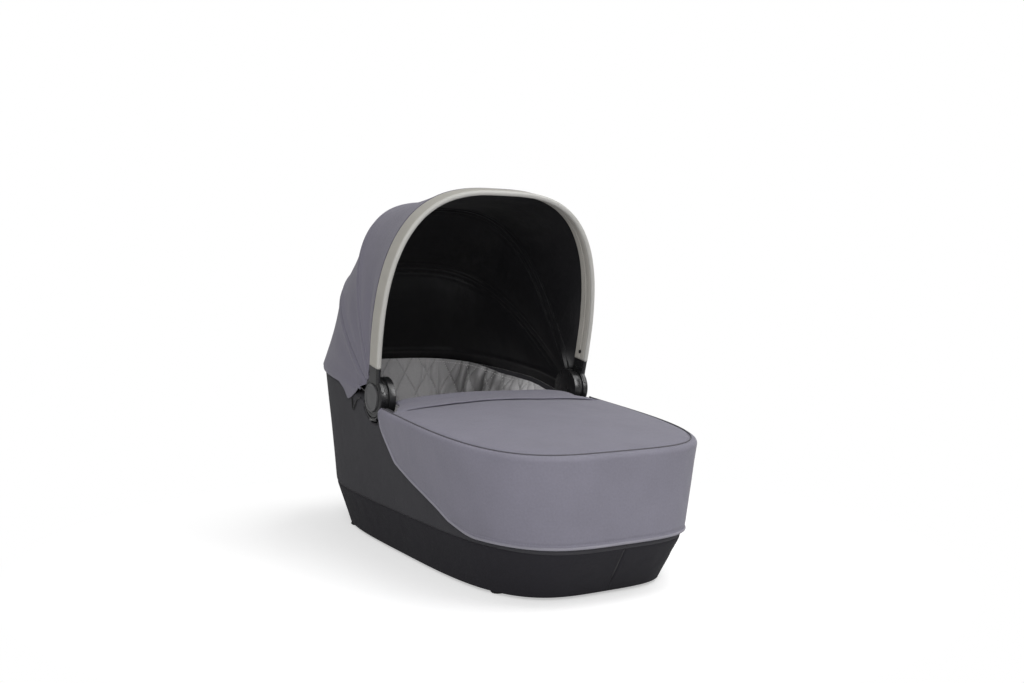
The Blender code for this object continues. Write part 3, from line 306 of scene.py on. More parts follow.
def wall_at_height(turn, height, inset):
    return wall_point(turn, (height - CREASE_HEIGHT) / (rim_top(turn) - CREASE_HEIGHT), inset)


def turn_at(y, side=1):
    """The turn where the rim crosses a given y, on the +X side or on the -X side."""
    head = y >= 0
    length = RIM_LINE.head_length if head else RIM_LINE.foot_length
    roundness = RIM_LINE.head_roundness if head else RIM_LINE.foot_roundness
    turn = math.asin(signed_power(y / length, roundness / 2))
    return turn if side > 0 else math.pi - turn


def wall_beside(y, height, side, inset):
    """A point of the wall at a given y and height, on the +X side or on the -X side."""
    aim = y
    for _ in range(5):
        point = wall_at_height(turn_at(aim, side), height, inset)
        aim += y - point.y
    return point


def running_lengths(points):
    """How far along a line of points each of them lies."""
    lengths = [0.0]
    for low, high in zip(points, points[1:]):
        lengths.append(lengths[-1] + (high - low).length)
    return lengths


# The outlines turn fast at the corners, so even steps of cloth are read from the rim's own length
STEPS_PER_QUARTER = 240
rim_turns = []
for quarter in range(-1, 3):
    for step in range(STEPS_PER_QUARTER):
        rim_turns.append((quarter + (1 - math.cos(math.pi * step / STEPS_PER_QUARTER)) / 2) * math.pi / 2)
rim_turns.append(rim_turns[0] + 2 * math.pi)
rim_lengths = running_lengths([Vector(outline_xy(RIM_LINE, turn)) for turn in rim_turns])
RIM_ROUND = rim_lengths[-1]


@functools.cache
def turn_after(length):
    """The turn after a length along the rim from the middle of the foot end."""
    return float(np.interp(length % RIM_ROUND, rim_lengths, rim_turns))


def length_at(turn):
    """The length along the rim at a turn, from the middle of the foot end."""
    held = (turn - rim_turns[0]) % (2 * math.pi) + rim_turns[0]
    return float(np.interp(held, rim_turns, rim_lengths))


def cloth_panel(columns, rows, place, flat, inside=TUB_MIDDLE, closed=False, eased=False):
    """A sheet of cloth as a grid whose shares across and up are placed, with its flat cut as UV in metres.
    An eased panel has its rows closer together near its two seams."""
    bm = bmesh.new()
    bmesh.ops.create_grid(bm, x_segments=columns, y_segments=rows, size=0.5)
    uv = bm.loops.layers.uv.new("cloth")
    shares = {}
    for vert in bm.verts:
        across = round(min(max(vert.co.x + 0.5, 0.0), 1.0), 6)
        up = min(max(vert.co.y + 0.5, 0.0), 1.0)
        if eased:
            up = (1 - math.cos(math.pi * up)) / 2
        shares[vert] = (across, round(up, 6))
    flats = {vert: flat(*share) for vert, share in shares.items()}
    for face in bm.faces:
        for loop in face.loops:
            loop[uv].uv = flats[loop.vert]
    for vert, share in shares.items():
        vert.co = place(*share)
    if closed:
        bmesh.ops.remove_doubles(bm, verts=bm.verts, dist=MERGE)
    bm.normal_update()
    outward = sum(face.normal.dot(face.calc_center_median() - inside) * face.calc_area() for face in bm.faces)
    if outward < 0:
        bmesh.ops.reverse_faces(bm, faces=bm.faces)
    return bm


def rectangle(width, height):
    """The flat cut of a panel that is a plain rectangle."""
    return lambda across, up: (across * width, up * height)


def cloth_place(tree):
    """Where a point of a cloth lies in its flat cut."""
    return add_node(tree, "ShaderNodeUVMap", {}, uv_map="cloth").outputs[0]


def woven(name, colour, thread_pitch, weave_depth, roughness, sheen, specular=0.3):
    """Plain-woven cloth: threads both ways, slubs of uneven yarn, cloudy dye and faint creases."""
    slub_pitch = thread_pitch * 5
    finish, tree, shader = new_finish(name, colour, roughness)
    place = cloth_place(tree)
    threads = []
    for way in ("X", "Y"):
        sockets = {"Vector": place, "Scale": math.pi / (10 * thread_pitch), "Distortion": 0.4, "Detail": 1.0}
        threads.append(add_node(tree, "ShaderNodeTexWave", sockets, bands_direction=way).outputs[1])
    weave = maths(tree, "MAXIMUM", *threads)
    slubs = specks(tree, place, slub_pitch, 3.0)
    clouds = specks(tree, place, slub_pitch * 22)
    dyed = maths(tree, "MULTIPLY", maths(tree, "ADD", slubs, clouds), 0.5)
    dyed = tint(tree, dyed, colour, 1 - SLUB_SHADE, 1 + SLUB_SHADE)
    creases = bump(tree, specks(tree, place, slub_pitch * 9, 3.0), slub_pitch * 0.4)
    wire(shader, {"Base Color": dyed, "Normal": bump(tree, weave, weave_depth, creases)})
    wire(shader, {"Sheen Weight": sheen, "Sheen Roughness": SHEEN_ROUGHNESS, "Specular IOR Level": specular})
    return finish


def add_object(name, data):
    thing = bpy.data.objects.new(name, data)
    bpy.context.scene.collection.objects.link(thing)
    return thing


def mesh_object(name, bm):
    """An object whose mesh is what a bmesh holds."""
    mesh = bpy.data.meshes.new(name)
    bm.to_mesh(mesh)
    bm.free()
    return add_object(name, mesh)


def make_piece(name, bm, finish, body, stands_for=()):
    """Turns a mesh drawn round the tub's middle into a piece in the carrycot's own place."""
    bmesh.ops.translate(bm, verts=bm.verts, vec=(0.0, tub_y, 0.0))
    piece = mesh_object(name, bm)
    piece.data.shade_smooth()
    piece.data.materials.append(finish)
    if isinstance(body, str):
        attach(piece, body)
    else:
        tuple(body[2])
        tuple(body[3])
        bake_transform(piece)
    if stands_for:
        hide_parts(*stands_for)
    return piece


def thicken(piece, thickness):
    step = piece.modifiers.new("thickness", "SOLIDIFY")
    step.thickness = thickness
    step.offset = -1.0


def soft_noise(x, y, pitch, seed=0.0):
    """Smooth noise from -1 to 1 whose lumps are about a pitch wide."""
    return noise.noise(Vector((x / pitch, y / pitch, seed)))


def bell(away, reach):
    """1 where away is 0, dying off over a reach to either side."""
    return math.exp(-((away / reach) ** 2))


def band_place(across, up):
    """The band: turned under at its foot, creased softly on its way up and rolled in at the crease."""
    length = across * RIM_ROUND
    turn = turn_after(length)
    if up < BAND_UNDER_SHARE:
        share = up / BAND_UNDER_SHARE
        under = band_point(turn, 0.0, BAND_TURN_UNDER * (1 - share) ** 1.3)
        under.z = FLOOR_HEIGHT - BAND_THICKNESS * 0.4 * (1 - share**4)
        return under
    share = (up - BAND_UNDER_SHARE) / (1 - BAND_UNDER_SHARE)
    wave = soft_noise(length, share * 0.05, 0.07, 3.0) * 0.6
    wave += soft_noise(length, share * 0.11, 0.028, 9.0) * 0.4
    inset = BAND_WAVE * (0.4 - wave) * math.sin(math.pi * share) ** 0.7
    inset += CREASE_ROLL * math.exp(-(1 - share) * BAND_HEIGHT / CREASE_REACH)
    from_seam = min(length, RIM_ROUND - length)
    seam = bell(from_seam, mix(*FOOT_SEAM_WIDTHS, share)) * smooth((share - FOOT_SEAM_END) * 5)
    inset += FOOT_SEAM_DEPTH * seam
    return band_point(turn, share, inset)


band_cloth = woven("band cloth", BAND_COLOUR, 0.0008, 0.00010, 0.9, 0.03, specular=0.15)
band_flat = rectangle(RIM_ROUND, BAND_CUT)
band_bm = cloth_panel(BAND_COLUMNS, BAND_ROWS, band_place, band_flat, closed=True)
band_piece = make_piece("lower_band", band_bm, band_cloth, "cot", ["cover_band"])
thicken(band_piece, BAND_THICKNESS)

# Upper side of the cover
# The same black cloth, a shade greyer, sewn to the band at the crease. It is folded over the rim tube
# and its inner leg hangs behind the liner. Its rim is stitched in pale thread and its notches bound.
SIDE_COLOUR = (0.0480, 0.0470, 0.0530)
THREAD_COLOUR = (0.42, 0.42, 0.41)
THREAD_SPECKS = 0.002
SIDE_THICKNESS = 0.0016
SIDE_COLUMNS = 560
SIDE_ROWS = 56
SIDE_CUT = 0.243
SIDE_WALL_SHARE = 0.74
SIDE_FOLD_SHARE = 0.95
FOLD_HALF = 0.0105
FOLD_DEPTH = 0.0095
FOLD_LEG = 0.0230
SIDE_WAVE = 0.0011
PUCKER_PITCH = 0.011
PUCKER_DEPTH = 0.0005
NOTCH_RADIUS = 0.0390
NOTCH_DROP = 0.004
HUB_HEIGHT = hub.z
CUT_REACH = 0.3
SIDE_WALL_HEIGHT = 0.17
Stitch = collections.namedtuple("Stitch", "spacing length width")
RIM_STITCH = Stitch(0.0046, 0.0034, 0.0009)
STITCH_HEIGHT_SHARE = 0.4
RIM_STITCH_DROP = 0.0050
RIM_STITCH_LIFT = 0.0002
NOTCH_GAP = 0.046
NOTCH_TURNS = (math.radians(-160.0), math.radians(-20.0))
BINDING_RADIUS = 0.0013
BINDING_LENGTH = 0.11
SIDES = (("left", -1), ("right", 1))


def side_place(across, up):
    """The wall with its soft waves, then the fold over the rim tube and the leg inside."""
    length = across * RIM_ROUND
    turn = turn_after(length)
    if up <= SIDE_WALL_SHARE:
        share = up / SIDE_WALL_SHARE
        fold_start = 1 - FOLD_DEPTH / (rim_top(turn) - CREASE_HEIGHT)
        wave = soft_noise(length, share * 0.17, 0.09, 5.0) * 0.7
        wave += soft_noise(length, share * 0.10, 0.035, 8.0) * 0.3
        pucker = math.sin(2 * math.pi * length / PUCKER_PITCH + 4 * soft_noise(length, 0.0, 0.05))
        inset = SIDE_WAVE * (0.5 - wave) * math.sin(math.pi * share)
        inset += PUCKER_DEPTH * (0.5 + pucker / 2) * smooth(share * 4 - 3)
        inset += CREASE_ROLL * math.exp(-share * SIDE_WALL_HEIGHT / CREASE_REACH)
        return wall_point(turn, share * fold_start, inset)
    if up <= SIDE_FOLD_SHARE:
        half_turn = math.pi * (up - SIDE_WALL_SHARE) / (SIDE_FOLD_SHARE - SIDE_WALL_SHARE)
        return rim_point(turn, FOLD_HALF * (1 - math.cos(half_turn)), FOLD_DEPTH * (1 - math.sin(half_turn)))
    share = (up - SIDE_FOLD_SHARE) / (1 - SIDE_FOLD_SHARE)
    return rim_point(turn, 2 * FOLD_HALF, mix(FOLD_DEPTH, FOLD_LEG, share))


def rod(radius, length, sides, stand):
    """A round rod, centred and turned by a matrix."""
    bm = bmesh.new()
    bmesh.ops.create_cone(
        bm, cap_ends=True, segments=sides, radius1=radius, radius2=radius, depth=length, matrix=stand
    )
    return bm


def keep_shape(piece):
    """Makes what a piece's modifiers give it into its own mesh."""
    bpy.context.view_layer.update()
    shape = piece.evaluated_get(bpy.context.evaluated_depsgraph_get())
    kept = bpy.data.meshes.new_from_object(shape)
    piece.modifiers.clear()
    piece.data = kept


def cut_hub_notch(piece, radius):
    """Cuts the round notches for the hubs through a piece."""
    stand = Matrix.Translation((0.0, hub.y, HUB_HEIGHT - NOTCH_DROP)) @ Matrix.Rotation(math.pi / 2, 4, "Y")
    cutter = mesh_object("notch_cutter", rod(radius, 2 * CUT_REACH, 96, stand))
    step = piece.modifiers.new("notch", "BOOLEAN")
    step.operation = "DIFFERENCE"
    step.object = cutter
    keep_shape(piece)
    bpy.data.objects.remove(cutter)


def close_ends(bm, sides):
    """Closes the open ends of a band or a tube."""
    bmesh.ops.holes_fill(bm, edges=[edge for edge in bm.edges if edge.is_boundary], sides=sides)
    bmesh.ops.recalc_face_normals(bm, faces=bm.faces)
    return bm


def tube_panel(columns, sides, centre, radius, inside, length):
    """A covered cord as a grid wrapped round a line of points given by a share along it."""

    def place(along, around):
        middle = centre(along)
        ahead = (centre(min(along + 0.002, 1.0)) - centre(max(along - 0.002, 0.0))).normalized()
        out = Vector((middle.x, middle.y, 0.0)).normalized()
        out = (out - ahead * out.dot(ahead)).normalized()
        up = ahead.cross(out)
        turn = 2 * math.pi * around
        return middle + out * radius * math.cos(turn) + up * radius * math.sin(turn)

    flat = rectangle(length, 2 * math.pi * radius)
    return close_ends(cloth_panel(columns, sides, place, flat, inside, closed=True), sides)


def on_cloth(place, across, up, inside, facing=1):
    """A point of a panel and the way that its shown face looks."""
    here = place(across, up)
    along = place(min(across + 0.002, 1.0), up) - place(max(across - 0.002, 0.0), up)
    over = place(across, min(up + 0.01, 1.0)) - place(across, max(up - 0.01, 0.0))
    way = along.cross(over).normalized()
    if way.dot(here - inside) * facing < 0:
        way.negate()
    return here, way


def row_of(first, last, steps, point_at):
    """A row along a seam: points with their ways out, at even steps from one share to another."""
    return [point_at(mix(first, last, step / steps)) for step in range(steps + 1)]


def sew(name, rows, finish, body, stitch):
    """Rows of stitches as one piece; a row is a run of points along a seam with their ways out."""
    bm = bmesh.new()
    size = Matrix.Diagonal((stitch.length / 2, stitch.width / 2, stitch.width * STITCH_HEIGHT_SHARE, 1.0))
    for row in rows:
        gone = 0.0
        coming = stitch.spacing / 2
        for (low, way), (high, _) in zip(row, row[1:]):
            run = (high - low).length
            ahead = (high - low).normalized()
            aside = way.cross(ahead).normalized()
            turned_to = Matrix((ahead, aside, ahead.cross(aside))).transposed().to_4x4()
            while run > 0 and coming < gone + run:
                centre = low.lerp(high, (coming - gone) / run)
                seated = Matrix.Translation(centre) @ turned_to @ size
                bmesh.ops.create_icosphere(bm, subdivisions=1, radius=1.0, matrix=seated)
                coming += stitch.spacing
            gone += run
    return make_piece(name, bm, finish, body)


def sewing_thread(name, colour, roughness=0.6, darker=0.85, lighter=1.1):
    """Twisted thread, whose colour varies a little from stitch to stitch."""
    finish, tree, shader = new_finish(name, colour, roughness)
    uneven = specks(tree, object_place(tree), THREAD_SPECKS)
    wire(shader, {"Base Color": tint(tree, uneven, colour, darker, lighter)})
    return finish


def rim_stitch(share):
    """A point of the seam inside the rim, on its way round the head end from one notch to the other."""
    turn = turn_after(mix(rim_seam_start, rim_seam_end, share))
    here = rim_point(turn, 2 * FOLD_HALF + RIM_STITCH_LIFT, RIM_STITCH_DROP)
    return here, Vector((-here.x, -here.y, 0.0)).normalized()


def notch_edge(side, share):
    """The edge of a notch on the wall, from the rim on the head side round under the hub."""
    turn = mix(*NOTCH_TURNS, share)
    radius = NOTCH_RADIUS + BINDING_RADIUS * 0.4
    y = HUB_FROM_MIDDLE + radius * math.cos(turn)
    return wall_beside(y, HUB_HEIGHT - NOTCH_DROP + radius * math.sin(turn), side, 0.0)


side_cloth = woven("side cloth", SIDE_COLOUR, 0.0008, 0.00010, 0.9, 0.04, specular=0.15)
side_flat = rectangle(RIM_ROUND, SIDE_CUT)
side_bm = cloth_panel(SIDE_COLUMNS, SIDE_ROWS, side_place, side_flat, closed=True)
side_piece = make_piece("upper_side", side_bm, side_cloth, "cot", ["cover_side"])
thicken(side_piece, SIDE_THICKNESS)
cut_hub_notch(side_piece, NOTCH_RADIUS)
rim_seam_start, rim_seam_end = (length_at(turn_at(HUB_FROM_MIDDLE + NOTCH_GAP, side)) for side in (1, -1))
pale_thread = sewing_thread("pale thread", THREAD_COLOUR, 0.7)
side_trim = [sew("rim_stitching", [row_of(0.0, 1.0, 300, rim_stitch)], pale_thread, "cot", RIM_STITCH)]
binding_tape = woven("binding tape", BAND_COLOUR, 0.0005, 0.00006, 0.8, 0.05, specular=0.2)
for side_name, side in SIDES:
    bm = tube_panel(64, 10, functools.partial(notch_edge, side), BINDING_RADIUS, TUB_MIDDLE, BINDING_LENGTH)
    side_trim.append(make_piece(f"notch_binding_{side_name}", bm, binding_tape, "cot"))

# Liner
# Grey cotton quilted to thin wadding in diamonds, with a bound top edge. Elastic in the edge gathers
# it into upright folds, which are deepest at the corners of the head end.
# Near white, far paler than the grey cotton: painted light for the dim inside of the hood.
LINER_PAINTED_LIGHT_COLOUR = (0.860, 0.848, 0.862)
LINER_CUT = 0.236
LINER_INSET = 0.0235
LINER_FOLD = 0.0022
LINER_HEAD_DROP = 0.0030
LINER_SIDE_DROP = 0.0125
LINER_BOTTOM_RISE = 0.030
LINER_COLUMNS = 1000
LINER_ROWS = 88
LINER_HEAD_SHARE = 0.72
LINER_BAND_SHARE = 0.22
DIAMOND_WIDTH = 0.055
DIAMOND_HEIGHT = 0.067
QUILT_DEPTH = 0.0045
QUILT_DIP = 0.0009
# Share of the liner's colour left on a quilting seam: painted shade in the groove.
QUILT_GROOVE_PAINTED_SHADE = 0.84
GATHER_PITCH = 0.032
GATHER_DEPTH = 0.0200
GATHER_REACH = 0.120
# Painted shade in the liner's folds: the share of its colour left where the shade is full, and the share of
# full shade laid over the head end's corners even on a fold's crest.
VALLEY_PAINTED_SHADE = 0.12
CORNER_PAINTED_SHADE = 0.42
GROOVE_WIDTH = 0.16
EDGE_TAPE = 0.0045
TAPE_THICKNESS = 0.0009
STITCH_LIFT = 0.0006
QUILT_STITCH = Stitch(0.0048, 0.0032, 0.0014)
QUILT_THREAD_COLOUR = (0.85, 0.85, 0.85)
HUB_CLEARANCE = 0.06
SHORTEST_ROW = 40
QUILT_REACH = (0.42, 0.985)
QUILT_LINES = 18
TAPE_STITCH_SHARE = 0.978
CROSSING_HEIGHT = 0.160
crossing_length = length_at(math.radians(76.0))
liner_corners = [length_at(math.radians(turn)) for turn in (36.0, 144.0)]
foot_share = (1 - LINER_HEAD_SHARE) / 2
liner_shares = (0.0, foot_share, 1 - foot_share, 1.0)
rim_shares = (0.0, 0.25, 0.75, 1.0)


def quilt_rise(length, height):
    """0 on a sewn line of the diamond quilting and 1 in the middle of a diamond."""
    along = (length - crossing_length) / DIAMOND_WIDTH
    over = (height - CROSSING_HEIGHT) / DIAMOND_HEIGHT
    return min(abs(math.sin(math.pi * (along + over))), abs(math.sin(math.pi * (along - over)))) ** 0.5


def near_corner(length):
    """How near a place along the rim is to a corner of the head end."""
    return sum(bell(length - corner, GATHER_REACH) for corner in liner_corners)


def gathers(length, height):
    """Upright folds with round crests and narrow valleys, from 0 in a valley to 1 on a crest."""
    lean = soft_noise(length, height, 0.05, 2.0) * 0.5 + height / 0.16
    phase = length / GATHER_PITCH + lean + 1.1 * soft_noise(length, 0.0, 0.06, 7.0)
    fold = abs(math.sin(math.pi * phase)) ** 0.6
    uneven = 0.65 + 0.7 * soft_noise(length, height, 0.035, 4.0)
    return fold * min(0.10 + near_corner(length), 1.0) * uneven


def liner_height(up):
    """Height up the liner's wall in its flat cut, from the crease of the tub."""
    return max(up - LINER_BAND_SHARE, 0.0) * LINER_CUT


def liner_length(across):
    """The length along the rim at a share of the liner's columns, which are closer at the head end."""
    return float(np.interp(across, liner_shares, rim_shares)) * RIM_ROUND


def liner_place(across, up):
    """The face that shows, from its foot beside the mattress to the bound edge under the rim."""
    length = liner_length(across)
    turn = turn_after(length)
    if up < LINER_BAND_SHARE:
        bottom = LINER_BOTTOM_RISE / (CREASE_HEIGHT - FLOOR_HEIGHT)
        return band_point(turn, mix(bottom, 1.0, up / LINER_BAND_SHARE), LINER_INSET + LINER_FOLD)
    share = (up - LINER_BAND_SHARE) / (1 - LINER_BAND_SHARE)
    height = liner_height(up)
    y = outline_xy(RIM_LINE, turn)[1]
    drop = mix(LINER_SIDE_DROP, LINER_HEAD_DROP, smooth((y - 0.22) / 0.12))
    reach = 1 - drop / (rim_height(y) - CREASE_HEIGHT)
    below_edge = (1 - share) * LINER_CUT * (1 - LINER_BAND_SHARE)
    puff = QUILT_DEPTH * quilt_rise(length, height) * smooth(below_edge / 0.012)
    held = smooth(share * 4) * mix(0.35, 1.0, smooth(below_edge / 0.020))
    tape = TAPE_THICKNESS if below_edge < EDGE_TAPE else 0.0
    fold = GATHER_DEPTH * gathers(length, height) * held
    return wall_point(turn, share * reach, LINER_INSET + LINER_FOLD * (1 - share) + puff + fold + tape)


def liner_flat(across, up):
    return liner_length(across), up * LINER_CUT


def vector_maths(tree, operation, *values):
    return add_node(tree, "ShaderNodeVectorMath", dict(enumerate(values)), operation=operation).outputs


def sewn_grooves(tree, way):
    """How near a point of the liner is to a quilting seam that leans one way: 1 on it and 0 off it."""
    start = (-crossing_length, -CROSSING_HEIGHT - LINER_BAND_SHARE * LINER_CUT, 0.0)
    moved = vector_maths(tree, "ADD", cloth_place(tree), start)[0]
    lean = (math.pi / DIAMOND_WIDTH, way * math.pi / DIAMOND_HEIGHT, 0.0)
    phase = vector_maths(tree, "DOT_PRODUCT", moved, lean)["Value"]
    away = maths(tree, "ABSOLUTE", maths(tree, "SINE", phase))
    return map_range(tree, away, 1.0, 0.0, end=GROOVE_WIDTH, interpolation_type="SMOOTHSTEP")


def quilted(finish):
    """Adds painted shade and the dip along the quilting seams, and painted shade in the folds and over the
    head end's corners, to the liner's cotton.
    """
    tree = finish.node_tree
    shader = tree.nodes["Principled BSDF"]
    groove = maths(tree, "MAXIMUM", sewn_grooves(tree, 1), sewn_grooves(tree, -1))
    dyed = shader.inputs["Base Color"].links[0].from_socket
    # Painted shade along the quilting grooves.
    shaded = scaled(tree, dyed, map_range(tree, groove, 1.0, QUILT_GROOVE_PAINTED_SHADE))
    # Painted shade in the folds' valleys and over the head end's corners.
    fold = add_node(tree, "ShaderNodeAttribute", {}, attribute_name="painted_fold_shade").outputs["Fac"]
    shaded = scaled(tree, shaded, map_range(tree, fold, 1.0, VALLEY_PAINTED_SHADE))
    fine = shader.inputs["Normal"].links[0].from_socket
    puffed = bump(tree, maths(tree, "SUBTRACT", 1.0, groove), QUILT_DIP, fine)
    wire(shader, {"Base Color": shaded, "Normal": puffed})
    return finish


liner_cotton_painted_light = quilted(woven("liner cotton with painted light", LINER_PAINTED_LIGHT_COLOUR, 0.0007, 0.00008, 0.9, 0.15))
liner_bm = cloth_panel(LINER_COLUMNS, LINER_ROWS, liner_place, liner_flat, closed=True)
bmesh.ops.reverse_faces(liner_bm, faces=liner_bm.faces)
liner_piece = make_piece("quilted_liner", liner_bm, liner_cotton_painted_light, "cot", ["liner"])
cut_hub_notch(liner_piece, NOTCH_RADIUS)
# Painted shade for each corner of the liner's mesh: deepest in the gathers' valleys, and spread over the head
# end's corners, which face away from the lamps.
painted_fold_shades = []
for flat_place in liner_piece.data.uv_layers["cloth"].uv:
    length, height = flat_place.vector
    valley = 1 - smooth(gathers(length, height - LINER_BAND_SHARE * LINER_CUT) / 1.15)
    painted_fold_shades.append(min(near_corner(length), 1.0) * mix(CORNER_PAINTED_SHADE, 1.0, valley))
liner_piece.data.attributes.new("painted_fold_shade", "FLOAT", "CORNER").data.foreach_set("value", painted_fold_shades)


def liner_stitch(across, up):
    here, way = on_cloth(liner_place, across, up, TUB_MIDDLE, -1)
    return here + way * STITCH_LIFT, way


def quilt_line(start, lean):
    """One sewn line of the quilting, up the wall and to one side; it stops short of the hubs."""

    def point(up):
        over = (liner_height(up) - CROSSING_HEIGHT) / DIAMOND_HEIGHT
        share = (crossing_length + DIAMOND_WIDTH * (start + lean * over)) / RIM_ROUND % 1.0
        return liner_stitch(float(np.interp(share, rim_shares, liner_shares)), up)

    row = row_of(*QUILT_REACH, 60, point)
    return [(here, way) for here, way in row if abs(here.y - HUB_FROM_MIDDLE) > HUB_CLEARANCE]


liner_rows = [quilt_line(start, lean) for start in range(-QUILT_LINES, QUILT_LINES) for lean in (1, -1)]
liner_rows = [row for row in liner_rows if len(row) > SHORTEST_ROW]
liner_rows.append(row_of(0.20, 0.80, 600, functools.partial(liner_stitch, up=TAPE_STITCH_SHARE)))
quilt_thread = sewing_thread("quilting thread", QUILT_THREAD_COLOUR, 0.7, 0.88, 1.05)
liner_stitching = sew("liner_stitching", liner_rows, quilt_thread, "cot", QUILT_STITCH)

# Mattress
# A slab of foam in a knitted cover with piped edges, which lies on the board. The foam swells a
# little under the cover.
MATTRESS_COLOUR = (0.60, 0.59, 0.57)
MATTRESS_COLUMNS = 160
MATTRESS_ROWS = 40
MATTRESS_INSET = 0.0330
MATTRESS_PULL = 0.0060
MATTRESS_CROWN = 0.006
MATTRESS_VOXEL = 0.006
MATTRESS_FRAMES = 20
MATTRESS_PRESSURE = 4.0
MATTRESS_SWELL = 0.0025
MATTRESS_PIPING = 0.0016
MATTRESS_SIDE_SHARES = (0.3, 0.7)
MATTRESS_EDGES = (("low", 0.32), ("high", 0.68))
mattress_low, mattress_high = (Vector(corner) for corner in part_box("mattress"))
MATTRESS_THICKNESS = mattress_high.z - mattress_low.z - MATTRESS_CROWN - MATTRESS_SWELL


def mattress_place(across, up):
    """From the middle of the underside, out and up the drawn-in side, to the middle of the crown."""
    turn = turn_after(across * RIM_ROUND)
    low, high = MATTRESS_SIDE_SHARES
    draw = MATTRESS_PULL
    if up < low:
        reach = (up / low) ** 0.7
        height = 0.0
    elif up < high:
        share = (up - low) / (high - low)
        reach = 1.0
        draw = MATTRESS_PULL * (2 * share - 1) ** 4
        height = MATTRESS_THICKNESS * share
    else:
        share = (up - high) / (1 - high)
        reach = max(1 - share, 0.0) ** 0.7
        height = MATTRESS_THICKNESS + MATTRESS_CROWN * smooth(share * 3)
    x, y = outline_xy(FLOOR_LINE, turn, MATTRESS_INSET + draw)
    return Vector((x * reach, y * reach, mattress_low.z + MATTRESS_SWELL * 0.4 + height))


def mesh_points(mesh):
    points = np.empty(len(mesh.vertices) * 3)
    mesh.vertices.foreach_get("co", points)
    return points.reshape(-1, 3)


def swell(piece):
    """Lets a pad swell as cloth round foam, holds each point near where it was, and keeps the result."""
    shape = piece.modifiers.new("even_mesh", "REMESH")
    shape.mode = "VOXEL"
    shape.voxel_size = MATTRESS_VOXEL
    keep_shape(piece)
    start = mesh_points(piece.data)
    cloth = piece.modifiers.new("swelling", "CLOTH")
    cloth.settings.use_pressure = True
    cloth.settings.uniform_pressure_force = MATTRESS_PRESSURE
    cloth.settings.effector_weights.gravity = 0.0
    cloth.point_cache.frame_start = 1
    cloth.point_cache.frame_end = MATTRESS_FRAMES
    for number in range(1, MATTRESS_FRAMES + 1):
        bpy.context.scene.frame_set(number)
    swollen = piece.evaluated_get(bpy.context.evaluated_depsgraph_get())
    move = mesh_points(swollen.to_mesh()) - start
    swollen.to_mesh_clear()
    piece.modifiers.clear()
    bpy.context.scene.frame_set(1)
    length = np.maximum(np.linalg.norm(move, axis=1), 1e-9)
    move *= np.minimum(1.0, MATTRESS_SWELL / length)[:, None]
    piece.data.vertices.foreach_set("co", (start + move).ravel())
    piece.data.update()
    piece.data.shade_smooth()
    rounder = piece.modifiers.new("rounding", "SUBSURF")
    rounder.levels = 1
    rounder.render_levels = 1


def pebbles(tree, place, pitch):
    """Small cells about a pitch apart, as how far a point is from the middle of its cell."""
    return add_node(tree, "ShaderNodeTexVoronoi", {"Vector": place, "Scale": 1.0 / pitch}).outputs["Distance"]


def knitted(name, colour, pitch, depth):
    """Knitted ticking on a pad that has lost its flat cut, so the loops follow the pad's own place."""
    finish, tree, shader = new_finish(name, colour, 0.9)
    place = object_place(tree)
    dyed = tint(tree, specks(tree, place, pitch * 30, 3.0), colour, 0.92, 1.06)
    loops = bump(tree, pebbles(tree, place, pitch), depth)
    wire(shader, {"Base Color": dyed, "Normal": loops, "Sheen Weight": 0.3})
    return finish


ticking = knitted("mattress ticking", MATTRESS_COLOUR, 0.0018, 0.0002)
mattress_middle = Vector((0.0, 0.0, (mattress_low.z + mattress_high.z) / 2))
mattress_flat = rectangle(1.0, 1.0)
mattress_bm = cloth_panel(
    MATTRESS_COLUMNS, MATTRESS_ROWS, mattress_place, mattress_flat, mattress_middle, closed=True
)
mattress_piece = make_piece("mattress_pad", mattress_bm, ticking, "cot", ["mattress"])
swell(mattress_piece)
for end, up in MATTRESS_EDGES:
    cord_line = functools.partial(mattress_place, up=up)
    bm = tube_panel(240, 8, cord_line, MATTRESS_PIPING, mattress_middle, 1.0)
    make_piece(f"mattress_piping_{end}", bm, ticking, "cot")

# Hub housings
# The fixed black moulding at each side: a drum and a cradle under the disc, a seat for the chassis
# below, and an ear for each rim tube. It is glass-filled nylon with a satin skin.
HOUSING_COLOUR = (0.012, 0.012, 0.013)
HOUSING_BACK = 0.1740
HOUSING_FACE = 0.1855
HUB_FACE = 0.2020
DISC_BACK = 0.1920
DISC_RADIUS = 0.0330
RECESS_RADIUS = 0.0237
RECESS_DEPTH = 0.006
BOSS_RADIUS = 0.016
BORE_RADIUS = 0.0068
BORE_FLOOR = 0.1800
CRADLE_INNER = 0.0343
CRADLE_OUTER = 0.0368
CRADLE_ROOT = 0.0288
CRADLE_STEP = 0.0005
CRADLE_REACH = math.radians(58)
CRADLE_TURN = math.radians(14)
SEAT_LENGTH = 0.026
SEAT_DEPTH = 0.0014
SEAT_MARGIN = 0.0010
SEAT_BREAK = 0.0005
EDGE_BREAK = 0.0007
SHARP_ANGLE = math.radians(35)
TURNED_STEPS = 96
EAR_RADIUS = 0.0069
EAR_START = 0.028
EAR_END = 0.056
EAR_LENGTH = 0.030
TUBE_INSET = 0.0107
TUBE_DROP = 0.0103
hub_in_tub = Vector((0.0, HUB_FROM_MIDDLE, HUB_HEIGHT))


def break_edges(bm, edges, width, segments):
    """Rounds off edges, as a mould or a lathe leaves them."""
    bmesh.ops.bevel(bm, geom=edges, offset=width, segments=segments, affect="EDGES", profile=0.5, material=-1)


